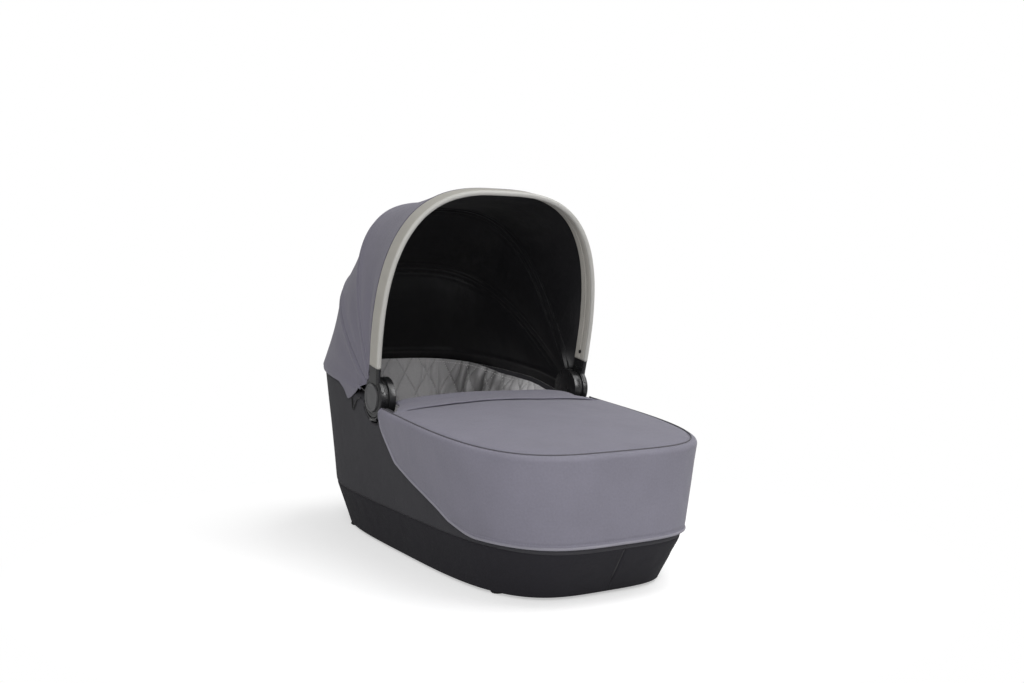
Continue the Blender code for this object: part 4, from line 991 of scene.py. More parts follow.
def turned(profile, side, edge_break, reach=None):
    """A shape turned round the hub's axis from (distance out, radius) corners, with its edges broken.
    With a reach it is only a sector, that far to either side of straight down."""
    bm = bmesh.new()
    start = 0.0 if reach is None else math.pi + reach
    corners = []
    for out, radius in profile:
        y = HUB_FROM_MIDDLE + radius * math.sin(start)
        corners.append(bm.verts.new((side * out, y, HUB_HEIGHT + radius * math.cos(start))))
    if reach is None:
        shape = corners + [bm.edges.new(pair) for pair in zip(corners, corners[1:])]
    else:
        face = bm.faces.new(corners)
        shape = [face] + list(face.edges) + corners
    bmesh.ops.spin(
        bm,
        geom=shape,
        cent=hub_in_tub,
        axis=(1.0, 0.0, 0.0),
        angle=2 * (reach or math.pi),
        steps=TURNED_STEPS if reach is None else TURNED_STEPS // 2,
        use_merge=reach is None,
    )
    bmesh.ops.remove_doubles(bm, verts=bm.verts, dist=MERGE)
    bmesh.ops.recalc_face_normals(bm, faces=bm.faces)
    sharp = [edge for edge in bm.edges if len(edge.link_faces) == 2 and edge.calc_face_angle() > 0.6]
    break_edges(bm, sharp, edge_break, 3)
    return bm


def join_shapes(first, *others):
    """Adds other shapes to the first."""
    for other in others:
        spare = bpy.data.meshes.new("spare")
        other.to_mesh(spare)
        other.free()
        first.from_mesh(spare)
        bpy.data.meshes.remove(spare)
    return first


def ear_line(side, end, share):
    """The middle of an ear, which runs out from the hub along the rim tube at one end."""
    y = HUB_FROM_MIDDLE + end * mix(EAR_START, EAR_END, share)
    return rim_point(turn_at(y, side), TUBE_INSET, TUBE_DROP)


hub_nylon = moulded("hub nylon", HOUSING_COLOUR, 0.28)
drum_profile = [
    (HOUSING_BACK, 0.0),
    (HOUSING_BACK, DISC_RADIUS),
    (HOUSING_FACE, DISC_RADIUS),
    (HOUSING_FACE, BOSS_RADIUS),
    (HUB_FACE - RECESS_DEPTH, BOSS_RADIUS),
    (HUB_FACE - RECESS_DEPTH, BORE_RADIUS),
    (BORE_FLOOR, BORE_RADIUS),
    (BORE_FLOOR, 0.0),
]
cradle_profile = [
    (HOUSING_BACK + CRADLE_STEP, CRADLE_ROOT),
    (HOUSING_BACK + CRADLE_STEP, CRADLE_OUTER),
    (HUB_FACE, CRADLE_OUTER),
    (HUB_FACE, CRADLE_INNER),
    (HOUSING_FACE, CRADLE_INNER),
    (HOUSING_FACE, CRADLE_ROOT),
]
seat_out = (HOUSING_BACK + CRADLE_STEP + HUB_FACE) / 2
seat_height = HUB_HEIGHT - (CRADLE_OUTER + SEAT_DEPTH + DISC_RADIUS) / 2
seat_width = HUB_FACE - HOUSING_BACK - CRADLE_STEP - SEAT_MARGIN
seat_size = Matrix.Diagonal((seat_width, SEAT_LENGTH, CRADLE_OUTER + SEAT_DEPTH - DISC_RADIUS, 1.0))
for side_name, side in SIDES:
    drum = turned(drum_profile, side, EDGE_BREAK)
    cradle = turned(cradle_profile, side, EDGE_BREAK, CRADLE_REACH)
    turn_back = Matrix.Rotation(CRADLE_TURN, 3, "X")
    bmesh.ops.rotate(cradle, verts=cradle.verts, cent=hub_in_tub, matrix=turn_back)
    seat = bmesh.new()
    seat_middle = Matrix.Translation((side * seat_out, HUB_FROM_MIDDLE, seat_height))
    bmesh.ops.create_cube(seat, size=1.0, matrix=seat_middle @ seat_size)
    break_edges(seat, seat.edges[:], SEAT_BREAK, 2)
    ears = []
    for end in (-1, 1):
        line = functools.partial(ear_line, side, end)
        ears.append(tube_panel(12, 24, line, EAR_RADIUS, TUB_MIDDLE, EAR_LENGTH))
    housing = join_shapes(drum, cradle, seat, *ears)
    nodes = [f"hub_housing_{side_name}"]
    housing_piece = make_piece(f"housing_{side_name}", housing, hub_nylon, "cot", nodes)
    housing_piece.data.set_sharp_from_angle(angle=SHARP_ANGLE)

# Push buttons
# A dished cap in a softer grey than the hub, with a raised lip, on a stem through the boss. It slides
# in its recess against a steel spring, whose outer end it carries in with it.
BUTTON_COLOUR = (0.075, 0.075, 0.078)
BUTTON_FACE = 0.2050
BUTTON_RADIUS = 0.0232
BUTTON_THICKNESS = 0.0047
BUTTON_STEM = 0.0145
BUTTON_STEM_RADIUS = 0.0030
BUTTON_LIP = 0.0028
BUTTON_DISH = 0.0012
BUTTON_BREAK = 0.0006
button_skin = moulded("button skin", BUTTON_COLOUR, 0.36)
button_back = BUTTON_FACE - BUTTON_THICKNESS
button_profile = [
    (button_back - BUTTON_STEM, 0.0),
    (button_back - BUTTON_STEM, BUTTON_STEM_RADIUS),
    (button_back, BUTTON_STEM_RADIUS),
    (button_back, BUTTON_RADIUS),
    (BUTTON_FACE, BUTTON_RADIUS),
    (BUTTON_FACE, BUTTON_RADIUS - BUTTON_LIP),
    (BUTTON_FACE - BUTTON_DISH, BUTTON_RADIUS - BUTTON_LIP - BUTTON_DISH),
    (BUTTON_FACE - BUTTON_DISH * 0.3, BUTTON_RADIUS * 0.35),
    (BUTTON_FACE - BUTTON_DISH * 0.2, 0.0),
]
for side_name, side in SIDES:
    bm = turned(button_profile, side, BUTTON_BREAK)
    nodes = [f"hub_button_{side_name}"]
    make_piece(f"push_button_{side_name}", bm, button_skin, f"button_{side_name}", nodes)
    spring = bpy.data.objects[f"button_spring_{side_name}"]
    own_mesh(spring)

# Bows
# Two flat spring-steel strips, painted black, which hold the hood's cloth out. Each ends in a ring
# on the hub's boss.
BOW_COLOUR = (0.014, 0.014, 0.015)
coat(moulded("bow paint", BOW_COLOUR, 0.45), "mid_bow", "rear_bow")

# Handle arms
# The moulded disc that turns on each hub, and the flat neck that rises from it into the wrap. The
# neck's front edge runs on over the disc's rim as a rounded toe. Same nylon as the housing.
WRAP_WIDTH = 0.034
WRAP_THICKNESS = 0.0082
WRAP_START = 0.052
NECK_START = 0.0245
NECK_GAP = 0.0004
NECK_COLUMNS = 64
DISC_BREAK = 0.0003
TONGUE_WIDTH = 0.026
TONGUE_THICKNESS = 0.0030
TONGUE_COLUMNS = 32
TONGUE_START = 0.040
TONGUE_END = 0.064
TOE_HALF = 0.0040
TOE_RISE = 0.0011
TOE_SINK = 0.0004
TOE_ROUND = 0.0008
TOE_LENGTH = 0.030
TOE_START = math.radians(112.0)
TOE_END = math.radians(165.0)
DISC_CHAMFER = (0.0014, 0.0016)
DISC_GROOVE_DEPTH = 0.0007
DISC_GROOVE_OUT = (0.0036, 0.0029, 0.0021, 0.0014)
BORE_GAP = 0.0003
Arch = collections.namedtuple("Arch", "half_width reach roundness flare_share flare_power lean")
HANDLE_ARCH = Arch(0.202, 0.3437, 2.88, 0.101, 1, math.radians(-11.9))


def arch_point(arch, turn, aside=0.0):
    """A point of an arch over the cot, set aside by a length across the arch's plane."""
    rise_share = abs(math.sin(turn)) ** (2 / arch.roundness)
    across = arch.half_width * signed_power(math.cos(turn), 2 / arch.roundness)
    across *= 1 + arch.flare_share * rise_share**arch.flare_power
    up = arch.reach * rise_share
    back = up * math.sin(arch.lean) + aside * math.cos(arch.lean)
    rise = up * math.cos(arch.lean) - aside * math.sin(arch.lean)
    return Vector((across, HUB_FROM_MIDDLE + back, HUB_HEIGHT + rise))


def arch_side(arch):
    return Vector((0.0, math.cos(arch.lean), -math.sin(arch.lean)))


@functools.cache
def arch_out(arch, turn):
    """The way out of an arch, in its own plane."""
    step = math.radians(0.2)
    low = arch_point(arch, max(turn - step, 0.0))
    high = arch_point(arch, min(turn + step, math.pi))
    return arch_side(arch).cross(high - low).normalized()


def arch_turn(arch, radius, side=1):
    """The turn at which an arch has climbed a radius away from the hub's axis, at either side."""
    turn = math.asin((radius / arch.reach) ** (arch.roundness / 2))
    return turn if side > 0 else math.pi - turn


def band_corner(share, width, thickness):
    """A point of a flat band's section as (out, aside), from the middle of its underside round its front."""
    flat = (width - thickness) / 2
    radius = thickness / 2
    arc = math.pi * radius
    gone = share * (4 * flat + 2 * arc)
    if gone < flat:
        return -thickness, -gone
    gone -= flat
    if gone < arc:
        return -radius - radius * math.cos(gone / radius), -flat - radius * math.sin(gone / radius)
    gone -= arc
    if gone < 2 * flat:
        return 0.0, gone - flat
    gone -= 2 * flat
    if gone < arc:
        return -radius + radius * math.cos(gone / radius), flat + radius * math.sin(gone / radius)
    return -thickness, flat - (gone - arc)


def band_along_handle(side, first, last, width, thickness, sink, columns, rows):
    """A length of flat band that follows the handle's arch at one side, with closed ends."""

    def place(around, along):
        turn = arch_turn(HANDLE_ARCH, mix(first, last, along), side)
        out, aside = band_corner(around, width, thickness)
        way = arch_out(HANDLE_ARCH, turn)
        return arch_point(HANDLE_ARCH, turn) + way * (out - sink) + arch_side(HANDLE_ARCH) * aside

    middle = arch_point(HANDLE_ARCH, arch_turn(HANDLE_ARCH, (first + last) / 2))
    middle.x *= side
    flat = rectangle(2 * width, last - first)
    return close_ends(cloth_panel(columns, rows, place, flat, middle, closed=True), columns)


def toe(side):
    """The rounded pad that carries the neck's front edge on over the disc's rim."""

    def place(around, down):
        turn = mix(TOE_START, TOE_END, down)
        left = (TOE_END - turn) * DISC_RADIUS
        half = TOE_HALF * math.sqrt(max(1 - max(1 - left / TOE_HALF, 0.0) ** 2, 0.0))
        swing = 2 * around - 1
        rise = (TOE_RISE + TOE_SINK) * (1 - abs(swing) ** 6) * min(left / TOE_ROUND, 1.0)
        radius = DISC_RADIUS - TOE_SINK + rise
        x = side * ((DISC_BACK + HUB_FACE) / 2 + half * swing)
        return Vector((x, HUB_FROM_MIDDLE + radius * math.cos(turn), HUB_HEIGHT + radius * math.sin(turn)))

    toe_flat = rectangle(TOE_HALF * 2, TOE_LENGTH)
    return cloth_panel(24, 48, place, toe_flat, hub_in_tub, closed=True)


disc_groove = [RECESS_RADIUS + out for out in DISC_GROOVE_OUT]
disc_profile = [
    (DISC_BACK, BOSS_RADIUS + BORE_GAP),
    (DISC_BACK, DISC_RADIUS),
    (HUB_FACE - DISC_CHAMFER[0], DISC_RADIUS),
    (HUB_FACE, DISC_RADIUS - DISC_CHAMFER[1]),
    (HUB_FACE, disc_groove[0]),
    (HUB_FACE - DISC_GROOVE_DEPTH, disc_groove[1]),
    (HUB_FACE - DISC_GROOVE_DEPTH, disc_groove[2]),
    (HUB_FACE, disc_groove[3]),
    (HUB_FACE, RECESS_RADIUS),
    (HUB_FACE - RECESS_DEPTH, RECESS_RADIUS),
    (HUB_FACE - RECESS_DEPTH, BOSS_RADIUS + BORE_GAP),
    (DISC_BACK, BOSS_RADIUS + BORE_GAP),
]
neck_end = WRAP_START - NECK_GAP
tongue_sink = (WRAP_THICKNESS - TONGUE_THICKNESS) / 2
for side_name, side in SIDES:
    disc = turned(disc_profile, side, DISC_BREAK)
    neck = band_along_handle(side, NECK_START, neck_end, WRAP_WIDTH, WRAP_THICKNESS, 0.0, NECK_COLUMNS, 16)
    tongue = band_along_handle(
        side, TONGUE_START, TONGUE_END, TONGUE_WIDTH, TONGUE_THICKNESS, tongue_sink, TONGUE_COLUMNS, 8
    )
    arm = join_shapes(disc, neck, tongue, toe(side))
    nodes = [f"handle_arm_{side_name}"]
    arm_piece = make_piece(f"hinge_arm_{side_name}", arm, hub_nylon, "handle", nodes)
    arm_piece.data.set_sharp_from_angle(angle=SHARP_ANGLE)

# Carry handle wrap
# A flat band in padded coated cloth with a leather grain. It is folded round the aluminium core, sewn
# shut along the middle of its underside, and a paler welt runs round its front edge.
WRAP_COLOUR = (0.385, 0.371, 0.336)
WELT_COLOUR = (0.455, 0.448, 0.423)
# Paler than the outside: painted light on the wrap's inner face.
WRAP_INSIDE_PAINTED_LIGHT_COLOUR = (0.520, 0.500, 0.455)
WRAP_COLUMNS = 112
WRAP_ROWS = 260
WRAP_SKIN = 0.0018
WELT_HALF = 0.0064
WELT_GROOVE = 0.0009
WELT_SWELL = 0.0005
WELT_GROOVE_REACH = 0.0008
WELT_EASE = 0.003
WELT_BLEND = 0.0004
CLOSING_SEAM_DEPTH = 0.0006
CLOSING_SEAM_REACH = 0.0009
WRAP_LUMPS = 0.0002
WRAP_STITCH = Stitch(0.0042, 0.0032, 0.0009)
WRAP_THREAD_COLOUR = (0.30, 0.29, 0.26)
WRAP_SEAM_SHARES = (0.045, 0.955)
WRAP_ROUND = 2 * (WRAP_WIDTH - WRAP_THICKNESS) + math.pi * WRAP_THICKNESS
WELT_PLACE = WRAP_ROUND / 4
first_turn = arch_turn(HANDLE_ARCH, WRAP_START)
wrap_turns = [mix(first_turn, math.pi - first_turn, step / 800) for step in range(801)]
wrap_lengths = running_lengths([arch_point(HANDLE_ARCH, turn) for turn in wrap_turns])
WRAP_LENGTH = wrap_lengths[-1]


@functools.cache
def wrap_turn(along):
    """The turn at a share of the length of the wrap."""
    return float(np.interp(along * WRAP_LENGTH, wrap_lengths, wrap_turns))


def wrap_place(around, along):
    """The wrap's skin, with its welt set off by a groove on either side."""
    turn = wrap_turn(along)
    out, aside = band_corner(around, WRAP_WIDTH, WRAP_THICKNESS)
    away = abs(around * WRAP_ROUND - WELT_PLACE)
    sink = WELT_GROOVE * bell(away - WELT_HALF, WELT_GROOVE_REACH)
    sink -= WELT_SWELL * smooth((WELT_HALF - away) / WELT_EASE)
    sink += CLOSING_SEAM_DEPTH * bell(min(around, 1 - around) * WRAP_ROUND, CLOSING_SEAM_REACH)
    sink -= WRAP_LUMPS * soft_noise(along * WRAP_LENGTH, around * WRAP_ROUND, 0.03)
    flat = (WRAP_WIDTH - WRAP_THICKNESS) / 2
    middle = Vector((-WRAP_THICKNESS / 2, min(max(aside, -flat), flat)))
    way = (Vector((out, aside)) - middle).normalized()
    out -= way.x * sink
    aside -= way.y * sink
    return arch_point(HANDLE_ARCH, turn) + arch_out(HANDLE_ARCH, turn) * out + arch_side(HANDLE_ARCH) * aside


def blend_colours(tree, share, first, second):
    """The first colour at share 0, going over to the second at share 1."""
    return add_node(tree, "ShaderNodeMix", {0: share, 6: first, 7: second}, data_type="RGBA").outputs[2]


def coated_cloth(name, colour, roughness, grain_pitch, grain_depth):
    """Coated cloth with a pebbled grain, worn a little where it is held; its welt is paler, and its inside is
    painted paler as painted light on the face that the lamps reach less.
    """
    finish, tree, shader = new_finish(name, colour, roughness)
    place = cloth_place(tree)
    rubbed = specks(tree, place, grain_pitch * 25, 3.0)
    around = add_node(tree, "ShaderNodeSeparateXYZ", {0: place}).outputs["X"]
    away = maths(tree, "ABSOLUTE", maths(tree, "SUBTRACT", around, WELT_PLACE))
    off_welt = map_range(tree, away, 0.0, 1.0, WELT_HALF - WELT_BLEND, WELT_HALF + WELT_BLEND)
    from_top = maths(tree, "ABSOLUTE", maths(tree, "SUBTRACT", around, WRAP_ROUND / 2))
    inside = maths(tree, "GREATER_THAN", from_top, WRAP_ROUND / 4)
    worn = tint(tree, rubbed, colour, 0.93, 1.05)
    # Painted light: the inner face takes its paler colour.
    worn = blend_colours(tree, inside, worn, tint(tree, rubbed, WRAP_INSIDE_PAINTED_LIGHT_COLOUR, 0.94, 1.04))
    mixed = blend_colours(tree, off_welt, tint(tree, rubbed, WELT_COLOUR, 0.96, 1.03), worn)
    gloss = shift_range(tree, rubbed, roughness * 0.85, roughness * 1.15)
    grain = bump(tree, pebbles(tree, place, grain_pitch), grain_depth)
    wire(shader, {"Base Color": mixed, "Roughness": gloss, "Normal": grain})
    return finish


def wrap_stitch(around, along):
    """A point of one of the two rows that close the wrap along its underside."""
    return wrap_place(around, along), -arch_out(HANDLE_ARCH, wrap_turn(along))


wrap_cloth = coated_cloth("coated cloth", WRAP_COLOUR, 0.5, 0.0012, 0.00006)
wrap_flat = rectangle(WRAP_ROUND, WRAP_LENGTH)
wrap_bm = cloth_panel(WRAP_COLUMNS, WRAP_ROWS, wrap_place, wrap_flat, closed=True)
bmesh.ops.recalc_face_normals(wrap_bm, faces=wrap_bm.faces)
wrap_piece = make_piece("handle_cover", wrap_bm, wrap_cloth, "handle", ["handle_wrap"])
thicken(wrap_piece, WRAP_SKIN)
wrap_rows = [row_of(0.015, 0.985, 400, functools.partial(wrap_stitch, around)) for around in WRAP_SEAM_SHARES]
wrap_thread = sewing_thread("wrap thread", WRAP_THREAD_COLOUR)
sew("wrap_stitching", wrap_rows, wrap_thread, "handle", WRAP_STITCH)

# Handle screws
# One domed screw of blackened steel at each side. It has a hexagon socket, and it goes from the inside
# through the wrap into the arm.
SCREW_RADIUS = 0.0032
SCREW_HEAD = 0.0016
SCREW_REACH = 0.066
SOCKET_RADIUS = 0.0014
SOCKET_DEPTH = 0.0009
SCREW_DOME = 0.0009
black_oxide = drawn_metal("black oxide", (0.05, 0.05, 0.052), 0.35)


def top_face(bm, way):
    bm.faces.ensure_lookup_table()
    return max(bm.faces, key=lambda face: face.normal.dot(way) * len(face.verts))


for side_name, side in SIDES:
    turn = arch_turn(HANDLE_ARCH, SCREW_REACH, side)
    inward = -arch_out(HANDLE_ARCH, turn)
    seat = arch_point(HANDLE_ARCH, turn) + inward * WRAP_THICKNESS
    turned_in = inward.to_track_quat("Z", "Y").to_matrix().to_4x4()
    bm = rod(SCREW_RADIUS, SCREW_HEAD, 36, Matrix.Translation(seat + inward * SCREW_HEAD / 2) @ turned_in)
    break_edges(bm, list(top_face(bm, inward).edges), SCREW_DOME, 3)
    top = top_face(bm, inward)
    width = max((vert.co - top.calc_center_median()).length for vert in top.verts)
    bmesh.ops.inset_individual(bm, faces=[top], thickness=width - SOCKET_RADIUS)
    well = bmesh.ops.extrude_face_region(bm, geom=[top])["geom"]
    deep = [item for item in well if isinstance(item, bmesh.types.BMVert)]
    bmesh.ops.translate(bm, verts=deep, vec=-inward * SOCKET_DEPTH)
    bmesh.ops.delete(bm, geom=[top], context="FACES")
    bmesh.ops.recalc_face_normals(bm, faces=bm.faces)
    nodes = [f"handle_screw_{side_name}"]
    screw_piece = make_piece(f"wrap_screw_{side_name}", bm, black_oxide, "handle", nodes)
    screw_piece.data.set_sharp_from_angle(angle=SHARP_ANGLE)

# Hood
# Three panels of closely woven cloth, dyed grey with a purple cast. Their seams lie on the bows, and
# the last panel hangs over the rim and dips to a point behind each hub.
HOOD_COLOUR = (0.166, 0.158, 0.199)
HOOD_THICKNESS = 0.0014
HOOD_START = 0.0358
HOOD_HALF_WIDTH = 0.202
HOOD_OUT = 0.0042
HOOD_SAG = 0.004
HOOD_HEM_OUT = 0.0032
HOOD_HEM_RISE = 0.006
HOOD_HEM_DEPTH = 0.024
HOOD_HEM_PLACES = [RIM_LINE.head_length * share for share in (0.16, 0.19, 0.26, 0.31, 0.345, 0.41, 0.83)]
HOOD_HEM_DROPS = [HOOD_HEM_DEPTH * share for share in (-0.6, -0.18, 0.57, 1.0, 0.45, 0.06, 0.08)]
HOOD_COLUMNS = 320
HOOD_ROWS = 44
HOOD_HEM_SHARE = 0.82
SEAM_SINK = 0.0056
SEAM_REACH = 0.0020
SEAM_SWELL = 0.0016
SEAM_SWELL_REACH = 0.008
FOLD_HEIGHT = 0.0028
FOLD_PLACE = 0.085
FOLD_LENGTH = 0.050
FOLDS_ACROSS = 1.3
FOLD_WINDOW = 0.08
SEAM_SWELL_WIDTH = 0.005
HOOD_LENGTH = 0.90
HOOD_GAP = 0.0002
HOOD_CUT = 0.86
HOOD_LUMPS = 0.0014
HOOD_STITCH = Stitch(0.0042, 0.0032, 0.0007)
HOOD_STITCH_AWAY = 0.006
HOOD_HEM_STITCH_SHARE = 0.94
RIM_LEAN = math.radians(86.0)
MID_ARCH = Arch(0.1912, 0.3600, 2.98, 0.05, 2, math.radians(24.9))
REAR_ARCH = Arch(0.1882, 0.3557, 2.98, 0.05, 2, math.radians(51.5))
BOW_THICKNESS = 0.0019


def arch_share_point(arch, share, radius, aside=0.0):
    """A point at a share of the turn between two points that lie a radius from either hub."""
    start = arch_turn(arch, radius)
    return arch_point(arch, mix(start, math.pi - start, share), aside)


def over_bow(arch):
    """The line that the hood takes over a bow."""
    return arch._replace(half_width=HOOD_HALF_WIDTH, reach=arch.reach + HOOD_OUT, flare_share=0.0)


def hem_drop(y):
    """How far the hood's hem hangs below the rim; it dips to a point behind each hub."""
    return float(np.interp(y, HOOD_HEM_PLACES, HOOD_HEM_DROPS))


def hem_turn(share, radius):
    """The turn at a share of the way round the head end, from one hub to the other."""
    first = turn_at(HUB_FROM_MIDDLE + radius, 1)
    return mix(first, math.pi - first, share)


@functools.cache
def handle_seam(across):
    aside = WRAP_WIDTH / 2 + HOOD_GAP
    return arch_share_point(HANDLE_ARCH, across, math.sqrt(HOOD_START**2 - aside**2), aside)


def bow_seam(arch):
    """The line of the seam over a bow, from the left hub to the right one."""
    raised = over_bow(arch)
    return functools.cache(lambda across: arch_share_point(raised, across, HOOD_START))


@functools.cache
def hem_over(across):
    """Where the last panel turns down over the rim."""
    turn = hem_turn(across, HOOD_START)
    drop = hem_drop(outline_xy(RIM_LINE, turn)[1])
    return rim_point(turn, -HOOD_HEM_OUT, min(drop, 0.0) - HOOD_HEM_RISE)


@functools.cache
def hem_low(across):
    turn = hem_turn(across, HOOD_START)
    return rim_point(turn, -HOOD_HEM_OUT, hem_drop(outline_xy(RIM_LINE, turn)[1]))


def hood_shape(low, high, across, up, first, last, seed):
    """A point of a hood panel: slack between its seams, dipped and swollen at them, folded near the hubs."""
    width = (high - low).length
    point = low.lerp(high, up)
    inward = (hub_in_tub - point).normalized()
    sink = HOOD_SAG * 4 * up * (1 - up)
    for end, away in ((first, up * width), (last, (1 - up) * width)):
        if end:
            sink += SEAM_SINK * math.exp(-away / SEAM_REACH)
            sink -= SEAM_SWELL * bell(away - SEAM_SWELL_REACH, SEAM_SWELL_WIDTH)
    from_hub = min(across, 1 - across) * HOOD_LENGTH
    ripple = math.sin(2 * math.pi * (up * FOLDS_ACROSS + 0.5 * soft_noise(from_hub, seed, 0.12)))
    sink += FOLD_HEIGHT * ripple * bell(from_hub - FOLD_PLACE, FOLD_LENGTH) * math.sin(math.pi * up)
    lumps = soft_noise(across * HOOD_LENGTH, up * 0.12, 0.10, seed + 3)
    return point + inward * (sink + HOOD_LUMPS * lumps * math.sin(math.pi * up))


def panel_place(shape, low_line, high_line, first, last, seed):
    """A panel between two lines; first and last say at which of them a bow's seam runs."""
    return lambda across, up: shape(low_line(across), high_line(across), across, up, first, last, seed)


def panel_flat(cut, low_line, high_line):
    return lambda across, up: (across * cut, up * (high_line(across) - low_line(across)).length)


def seam_row(place, seam, away, facing=1):
    """A row of stitches along a panel's seam, at its low edge, 0, or at its high edge, 1."""

    def point(across):
        share = away / (place(across, 1.0) - place(across, 0.0)).length
        return on_cloth(place, across, share if seam == 0 else 1 - share, hub_in_tub, facing)

    return row_of(0.02, 0.98, 300, point)


def fold_window(first, last):
    """Where a hood panel turns from one bow's motion to the next: about the middle between them."""
    middle = (first + last) / 2
    way = Vector((0.0, math.cos(middle), -math.sin(middle)))
    return hub - way * FOLD_WINDOW, hub + way * FOLD_WINDOW


mid_seam = bow_seam(MID_ARCH)
rear_seam = bow_seam(REAR_ARCH)
front_place = panel_place(hood_shape, handle_seam, mid_seam, False, True, 1.0)
middle_place = panel_place(hood_shape, mid_seam, rear_seam, True, True, 5.0)
above_rim = panel_place(hood_shape, rear_seam, hem_over, True, False, 9.0)


def rear_place(across, up):
    """The last panel: down from the rear seam, over the rim and on to the hem."""
    if up > HOOD_HEM_SHARE:
        return hem_over(across).lerp(hem_low(across), (up - HOOD_HEM_SHARE) / (1 - HOOD_HEM_SHARE))
    return above_rim(across, up / HOOD_HEM_SHARE)


def hood_hem_stitch(across):
    return on_cloth(rear_place, across, HOOD_HEM_STITCH_SHARE, hub_in_tub)


front_bodies = ("handle", "mid_bow", *fold_window(HANDLE_ARCH.lean, MID_ARCH.lean))
middle_bodies = ("mid_bow", "rear_bow", *fold_window(MID_ARCH.lean, REAR_ARCH.lean))
rear_bodies = ("rear_bow", "cot", *fold_window(REAR_ARCH.lean, RIM_LEAN))
hood_cloth = woven("hood cloth", HOOD_COLOUR, 0.0007, 0.00006, 0.75, 0.12)
hood_thread = sewing_thread("hood thread", tuple(1.15 * part for part in HOOD_COLOUR))
for end, place, low_line, high_line, bodies, length, area, carrier in (
    ("front", front_place, handle_seam, mid_seam, front_bodies, 0.208, 0.115, "handle_core"),
    ("middle", middle_place, mid_seam, rear_seam, middle_bodies, 0.167, 0.098, "mid_bow"),
    ("rear", rear_place, rear_seam, hem_low, rear_bodies, 0.214, 0.130, "rear_bow"),
):
    flat = panel_flat(HOOD_CUT, low_line, high_line)
    bm = cloth_panel(HOOD_COLUMNS, HOOD_ROWS, place, flat, hub_in_tub, eased=True)
    panel = make_piece(f"hood_{end}_panel", bm, hood_cloth, bodies, [f"hood_{end}"])
    thicken(panel, HOOD_THICKNESS)
hem_row = row_of(0.004, 0.996, 400, hood_hem_stitch)
for end, place, bodies, seams, others in (
    ("front", front_place, front_bodies, (1,), []),
    ("middle", middle_place, middle_bodies, (0, 1), []),
    ("rear", rear_place, rear_bodies, (0,), [hem_row]),
):
    rows = [seam_row(place, seam, HOOD_STITCH_AWAY) for seam in seams] + others
    sew(f"{end}_panel_stitching", rows, hood_thread, bodies, HOOD_STITCH)

# Hood lining
# Thin black polyester inside the hood, sewn round each bow in a channel with a row of stitches on
# either side. It hangs a little loose between them.
LINING_COLOUR = (0.0056, 0.0055, 0.0068)
LINING_START = 0.0340
LINING_NECK_START = 0.0270
LINING_IN = 0.0020
LINING_TUCK_INSET = 0.0218
LINING_TUCK_DROP = 0.0040
LINING_THICKNESS = 0.0008
LINING_HUB_LIMIT = 0.1850
CHANNEL_HALF = 0.0085
CHANNEL_RISE = 0.0034
CHANNEL_DIP = 0.0008
CHANNEL_PUFF = 0.0016
LINING_HEM_UP = 0.021
LINING_HEM_RISE = 0.0045
LINING_SAG = 0.0065
LINING_LUMPS = 0.0016
LINING_CUT = 0.80
LINING_HANDLE_ASIDE = WRAP_WIDTH / 2 - 0.0004
LINING_STITCH = Stitch(0.0042, 0.0030, 0.0008)
LINING_STITCH_AWAY = CHANNEL_HALF + 0.0004
# Paler than the black lining: partly the thread's own colour, partly painted highlight along the channels'
# edges.
LINING_THREAD_AND_HIGHLIGHT_COLOUR = (0.05, 0.05, 0.053)


def under_arch(arch, depth):
    return arch._replace(half_width=arch.half_width - depth, reach=arch.reach - depth)


def under_bow(arch):
    return under_arch(arch, BOW_THICKNESS + LINING_IN)._replace(flare_share=0.0)


def clear_of_hub(point):
    """Keeps the lining inside the bows' rings near the hub."""
    away = math.hypot(point.y - HUB_FROM_MIDDLE, point.z - HUB_HEIGHT)
    limit = LINING_HUB_LIMIT + 0.02 * smooth((away - 0.06) / 0.08)
    return Vector((min(max(point.x, -limit), limit), point.y, point.z))


@functools.cache
def handle_line(across):
    arch = under_arch(HANDLE_ARCH, WRAP_THICKNESS / 2)
    return arch_share_point(arch, across, LINING_NECK_START, LINING_HANDLE_ASIDE)


def bow_line(arch):
    lowered = under_bow(arch)
    return functools.cache(lambda across: clear_of_hub(arch_share_point(lowered, across, LINING_START)))


@functools.cache
def rim_line(across):
    return rim_point(hem_turn(across, LINING_START), LINING_TUCK_INSET, LINING_TUCK_DROP)


def lining_shape(low, high, across, up, first, last, seed):
    """A point of a lining panel, which swells into the hood over each bow and hangs slack between."""
    width = (high - low).length
    point = low.lerp(high, up)
    inward = (hub_in_tub - point).normalized()
    clear = smooth((width - 0.025) / 0.075)
    sink = LINING_SAG * 4 * up * (1 - up) * smooth((width - 0.02) / 0.06)
    for end, away in ((first, up * width), (last, (1 - up) * width)):
        if end and away < CHANNEL_HALF:
            sink += CHANNEL_RISE * math.cos(away / CHANNEL_HALF * math.pi / 2) ** 0.4 * clear
        if end:
            sink -= CHANNEL_DIP * bell(away - CHANNEL_HALF, 0.0016) * clear
            sink += CHANNEL_PUFF * bell(away - CHANNEL_HALF - 0.004, 0.0025) * clear
    sink += LINING_LUMPS * soft_noise(across * HOOD_LENGTH, up * width, 0.05, seed) * math.sin(math.pi * up)
    return point + inward * sink


mid_line = bow_line(MID_ARCH)
rear_line = bow_line(REAR_ARCH)
front_lining = panel_place(lining_shape, handle_line, mid_line, False, True, 1.0)
middle_lining = panel_place(lining_shape, mid_line, rear_line, True, True, 4.0)
plain_lining = panel_place(lining_shape, rear_line, rim_line, True, False, 7.0)


def rear_lining(across, up):
    """The last panel, with a loose hem that hangs in front of it just above the rim."""
    point = plain_lining(across, up)
    away = (1 - up) * (rim_line(across) - rear_line(across)).length
    rise = LINING_HEM_RISE * bell(away - LINING_HEM_UP, 0.004)
    return point + Vector((-point.x, -point.y, 0.0)).normalized() * rise


